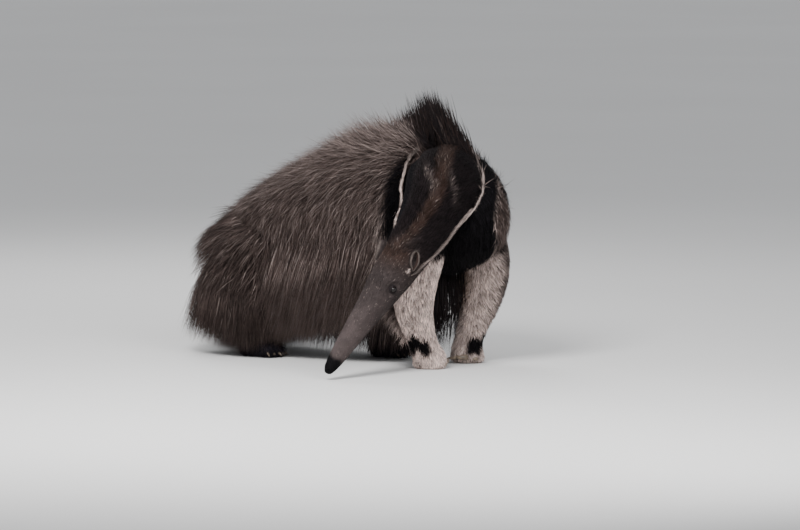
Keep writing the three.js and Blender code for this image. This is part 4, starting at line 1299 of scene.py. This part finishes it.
# %% Fine hair along the borders
def border(name, part, path, count, length, half, shine, low=0.006):
    far = np.append(0, np.cumsum(np.linalg.norm(np.diff(path, axis=0), axis=1)))
    begin = (far[-1] - length) * (np.arange(count) + random.random(count)) / count

    def at(distance):
        return np.stack([np.interp(distance, far, path[:, k]) for k in range(3)], -1)

    where = at(begin)
    part_at, s, turn = match(where)
    turn = np.where(part_at == PARTS.index(part), turn, -0.25)
    out = tubes[part].outward(s, turn)
    aside = np.cross(out, unit(at(begin + length) - where))
    aside = aside * (half * random.normal(0, 1, count))[:, None]
    reach = length * vary(count, 0.35)
    rise = low * (0.6 + 0.8 * random.random(count))
    paths = [at(begin + reach * t) + aside * (0.6 + 0.6 * t)
             + out * (rise * (1.6 * t - 0.8))[:, None] for t in STEPS]
    tone = 0.3 + 0.6 * random.random(count)
    tone = tone * np.interp(begin / far[-1], np.linspace(0, 1, len(shine)), shine)
    shades = np.stack([CREAM * tone[:, None] * (0.8 + 0.3 * t) for t in STEPS], 1)
    strands(name, np.stack(paths, 1), out, 0.0013 * vary(count), shades, unrolled(s, turn),
            "dark_coat")


def neck_path(line, first, last, lift):
    s = np.linspace(first, last, 40)
    turn = np.interp(s, *line)
    return neck.point(s, turn, 0) + neck.outward(s, turn) * lift


border("line_neck", "neck", neck_path(NECK_LEFT, 0.45, 0.05, 0.005), 600, 0.018, 0.0006,
       [0.35, 0.45, 0.6, 0.85, 0.9, 0.7])
toward = np.array([0.643, -0.766, 0.10]) * 0.010
border("line_chest", "trunk", CHEST_LINE[::-1] + [*SHIFT, 0] + toward * 0.5, 550, 0.018, 0.0008,
       [0.9, 0.9, 0.7, 0.55, 0.4], low=0.009)
border("line_withers", "trunk", WITHERS_LINE[::-1] + [*SHIFT, 0] + toward, 420, 0.020, 0.0013,
       [0.8, 1, 0.8, 0.35, 0.15, 0.05], low=0.011)

# %% Hair of the ears
def on_ears(s, turn, at):
    found = np.zeros(len(at))
    for spot, axes in ear_frames:
        place = ear_place(at, spot, axes)
        far = np.linalg.norm(place, axis=1)
        found += (far < 1.15) * (far > 0.86) * (place[:, 2] > -0.5) * (1 + (place[:, 2] > 0.2))
    return found


def ear_way(root, s, turn):
    left = ((root - head_back) @ head_left > 0)[:, None]
    ways = [axes[2] * 0.8 + axes[1] * 0.7 for spot, axes in ear_frames]
    return np.where(left, ways[0], ways[1])


grow_short("coat_ears", "neck", 2600, ear_way, flat(0.0044), 0.22, 0.0007, on_ears, stray=0.3,
           pale=0.03)

# %% Tail
TAIL_PARTS = (("base", 0.0, 0.34), ("middle", 0.34, 0.66), ("end", 0.66, 1.01))
for name, low_s, high_s in TAIL_PARTS:
    grow_hanging(f"coat_tail_{name}", "tail", 3500, flat(0.004),
                 lambda s, t: 0.95 - 0.5 * smooth(0.2, 0.4, np.abs(t)), 0.32, 0.003,
                 lambda s, t, at: (s >= low_s) * (s < high_s) * (np.abs(t) > 0.03),
                 stray=0.02, pale=0.2, steps=LONG_STEPS, slot="tail_coat")


def ridge_lie(s, turn):
    return 1.1 * smooth(0.02, 0.2, np.abs(turn)) * random.normal(1, 0.4, len(s))


grow_lying("coat_tail_ridge", "tail", 2200, ridge_lie,
           ramp([0, 0.3, 0.8, 1], [0.08, 0.15, 0.13, 0.06]), flat(1.1), 0.0026,
           lambda s, t, at: (np.abs(t) < 0.2) * 1.0, stray=0.018, pale=0.3, slot="tail_coat")
print("coat", sum(len(piece.data.polygons) for piece in coats), "triangles in all")

# %% [markdown]
# ## Finishes
# The coat reads its colour from the attribute that grew with it. A little noise along the body
# keeps it from looking printed, and the roughness is that of dry coarse hair.


# %% Materials
def material(name, roughness, gloss=0.5):
    made = bpy.data.materials.new(name)
    made.use_nodes = True
    shader = made.node_tree.nodes["Principled BSDF"]
    shader.inputs["Roughness"].default_value = roughness
    shader.inputs["Specular IOR Level"].default_value = gloss
    return made, made.node_tree, shader


def noise(tree, scale, detail=4):
    place = tree.nodes.new("ShaderNodeTexCoord")
    node = tree.nodes.new("ShaderNodeTexNoise")
    node.inputs["Scale"].default_value = scale
    node.inputs["Detail"].default_value = detail
    tree.links.new(place.outputs["Object"], node.inputs["Vector"])
    return node


def coat_material(name, roughness=0.62, low=0.8, high=1.2):
    made, tree, shader = material(name, roughness, 0.07)
    colour = tree.nodes.new("ShaderNodeVertexColor")
    colour.layer_name = "Coat"
    spots = noise(tree, 26)
    spread = tree.nodes.new("ShaderNodeMapRange")
    for field, value in (("From Min", 0.3), ("From Max", 0.7), ("To Min", low), ("To Max", high)):
        spread.inputs[field].default_value = value
    tree.links.new(spots.outputs["Fac"], spread.inputs["Value"])
    scaled = tree.nodes.new("ShaderNodeVectorMath")
    scaled.operation = "SCALE"
    tree.links.new(colour.outputs["Color"], scaled.inputs[0])
    tree.links.new(spread.outputs["Result"], scaled.inputs["Scale"])
    tree.links.new(scaled.outputs["Vector"], shader.inputs["Base Color"])
    return made, tree, shader


def varied(tree, shader, scale, dark, light, detail=5):
    """Colour that wanders between two tones."""
    spots = noise(tree, scale, detail)
    tones = tree.nodes.new("ShaderNodeValToRGB")
    for stop, position, tone in zip(tones.color_ramp.elements, (0.35, 0.68), (dark, light)):
        stop.position = position
        stop.color = (*tone, 1)
    tree.links.new(spots.outputs["Fac"], tones.inputs["Fac"])
    tree.links.new(tones.outputs["Color"], shader.inputs["Base Color"])
    return spots


def raised(tree, shader, height, strength, distance):
    bump = tree.nodes.new("ShaderNodeBump")
    bump.inputs["Strength"].default_value = strength
    bump.inputs["Distance"].default_value = distance
    tree.links.new(height, bump.inputs["Height"])
    tree.links.new(bump.outputs["Normal"], shader.inputs["Normal"])


coat_look = coat_material("coarse hair")[0]
for piece in coats:
    piece.data.materials.append(coat_look)

skin_look, tree, shader = coat_material("short fur", 0.7, 0.75, 1.15)
raised(tree, shader, noise(tree, 900, 6).outputs["Fac"], 0.5, 1.2 * MM)
skin.data.materials.clear()
skin.data.materials.append(skin_look)

# %% Paint the skin as the coat
SKIN_SHADE = 0.85
points = points_of(skin)
part_at, s_at, turn_at = match(points)
colour = np.zeros((len(points), 3))
for number, name in enumerate(PARTS):
    mine = part_at == number
    colour[mine] = paint(name, points[mine], s_at[mine], turn_at[mine])
add_tones(skin.data, colour * SKIN_SHADE)
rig.ride(skin, "root")
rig.slot(skin, "short_coat")
flesh = ["torso", "neck", "head", "ear_left", "ear_right", *legs,
         "tail_base", "tail_middle", "tail_end"]
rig.replaces(skin, *flesh)

# %% [markdown]
# ## Eyes and claws
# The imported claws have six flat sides. A copy of each is welded and subdivided, which rounds it in
# the same place, and gets horn that is darker and paler in patches with a slightly rough face. The
# packed eyes have flat facets, which would mirror a lamp as a whole patch, so fine balls of the same
# size take their place, with the small bulge that a real eye has in front.

# %% Eyes and claws
eye_look, tree, shader = material("wet eye", 0.04, 0.3)
varied(tree, shader, 240, (0.002, 0.0014, 0.0012), (0.009, 0.005, 0.0035))
claw_look, tree, shader = material("worn horn", 0.42)
spots = varied(tree, shader, 90, (0.060, 0.043, 0.030), (0.20, 0.155, 0.11))
raised(tree, shader, spots.outputs["Fac"], 0.35, 0.8 * MM)
for name, node in frame["nodes"].items():
    if "claw" not in name:
        continue
    nail = bpy.data.objects.new(f"fine_{name}", node.data.copy())
    bpy.context.scene.collection.objects.link(nail)
    choose(nail)
    weld()
    bpy.ops.object.mode_set(mode="OBJECT")
    apply_modifier(nail, "SUBSURF", levels=2, render_levels=2)
    bpy.ops.object.shade_smooth()
    nail.data.materials.clear()
    nail.data.materials.append(claw_look)
    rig.ride(nail, "root")
    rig.slot(nail, "claw")
    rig.replaces(nail, name)

# %% Round eyeballs with a bulging front
CORNEA = 0.7 * MM
for name, mirror in (("left", 1), ("right", -1)):
    way = unit(head_turn(LOOK, mirror))
    side_way = unit(np.cross(way, UP))
    centre = head_back + head_turn(EYE_PLACE, mirror)
    eyeball = ball([EYE_RADIUS] * 3, side_way, np.cross(way, side_way), centre, 56)
    eyeball.name = f"eyeball_{name}"
    points = points_of(eyeball)
    outward = unit(points - head_back - head_turn(EYE_PLACE, mirror))
    bulge = smooth(0.72, 1.0, outward @ way)
    set_points(eyeball, points + outward * (CORNEA * bulge)[:, None])
    bpy.ops.object.shade_smooth()
    eyeball.data.materials.append(eye_look)
    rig.ride(eyeball, "root")
    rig.slot(eyeball, "eye")
    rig.replaces(eyeball, f"eye_{name}")

# %% Floor, light and camera
choose()
bpy.ops.mesh.primitive_plane_add(size=600)
floor = bpy.context.object
floor.name = "floor"
floor_look, tree, shader = material("pale floor", 0.9)
varied(tree, shader, 0.6, (0.620, 0.612, 0.604), (0.640, 0.632, 0.624), 2)
floor.data.materials.append(floor_look)
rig.stage(floor)

world = bpy.data.worlds.new("studio")
bpy.context.scene.world = world
world.use_nodes = True
world.node_tree.nodes["Background"].inputs["Color"].default_value = (0.85, 0.87, 0.9, 1)
world.node_tree.nodes["Background"].inputs["Strength"].default_value = 0.8

AIM = Vector((-0.0586 + SHIFT[0], -0.1292 + SHIFT[1], 0.2636))
VIEW_TURN, VIEW_RISE = 40, 5
DISTANCE = 14.0
SEEN_WIDTH = 2.04


def away(turn, rise):
    """The way from the animal towards a camera or lamp, from its turn and rise in degrees."""
    a, e = math.radians(turn), math.radians(rise)
    return Vector((math.sin(a) * math.cos(e), -math.cos(a) * math.cos(e), math.sin(e)))


back = away(VIEW_TURN, VIEW_RISE)
camera_data = bpy.data.cameras.new("camera")
camera = bpy.data.objects.new("camera", camera_data)
bpy.context.scene.collection.objects.link(camera)
camera.location = AIM + back * DISTANCE
camera.rotation_euler = (-back).to_track_quat("-Z", "Y").to_euler()
camera_data.lens = 36 * DISTANCE / SEEN_WIDTH
camera_data.clip_end = 1000
bpy.context.scene.camera = camera


def softbox(name, turn, rise, distance, size, power):
    light = bpy.data.lights.new(name, "AREA")
    light.shape = "DISK"
    light.size = size
    light.energy = power
    lamp = bpy.data.objects.new(name, light)
    bpy.context.scene.collection.objects.link(lamp)
    way = away(turn, rise)
    lamp.location = way * distance + Vector((0, 0, 0.3))
    lamp.rotation_euler = (-way).to_track_quat("-Z", "Y").to_euler()


softbox("key", 28, 36, 3.2, 1.0, 135)
softbox("fill", 64, 18, 3.4, 1.4, 45)
softbox("rim", -120, 45, 3.4, 1.8, 60)

# %% Sizes and the end
with open("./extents.json", "w") as note:
    json.dump({"cad": cad_box, "visual": [list(corner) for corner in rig.bounds()]}, note)
print(open("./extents.json").read())
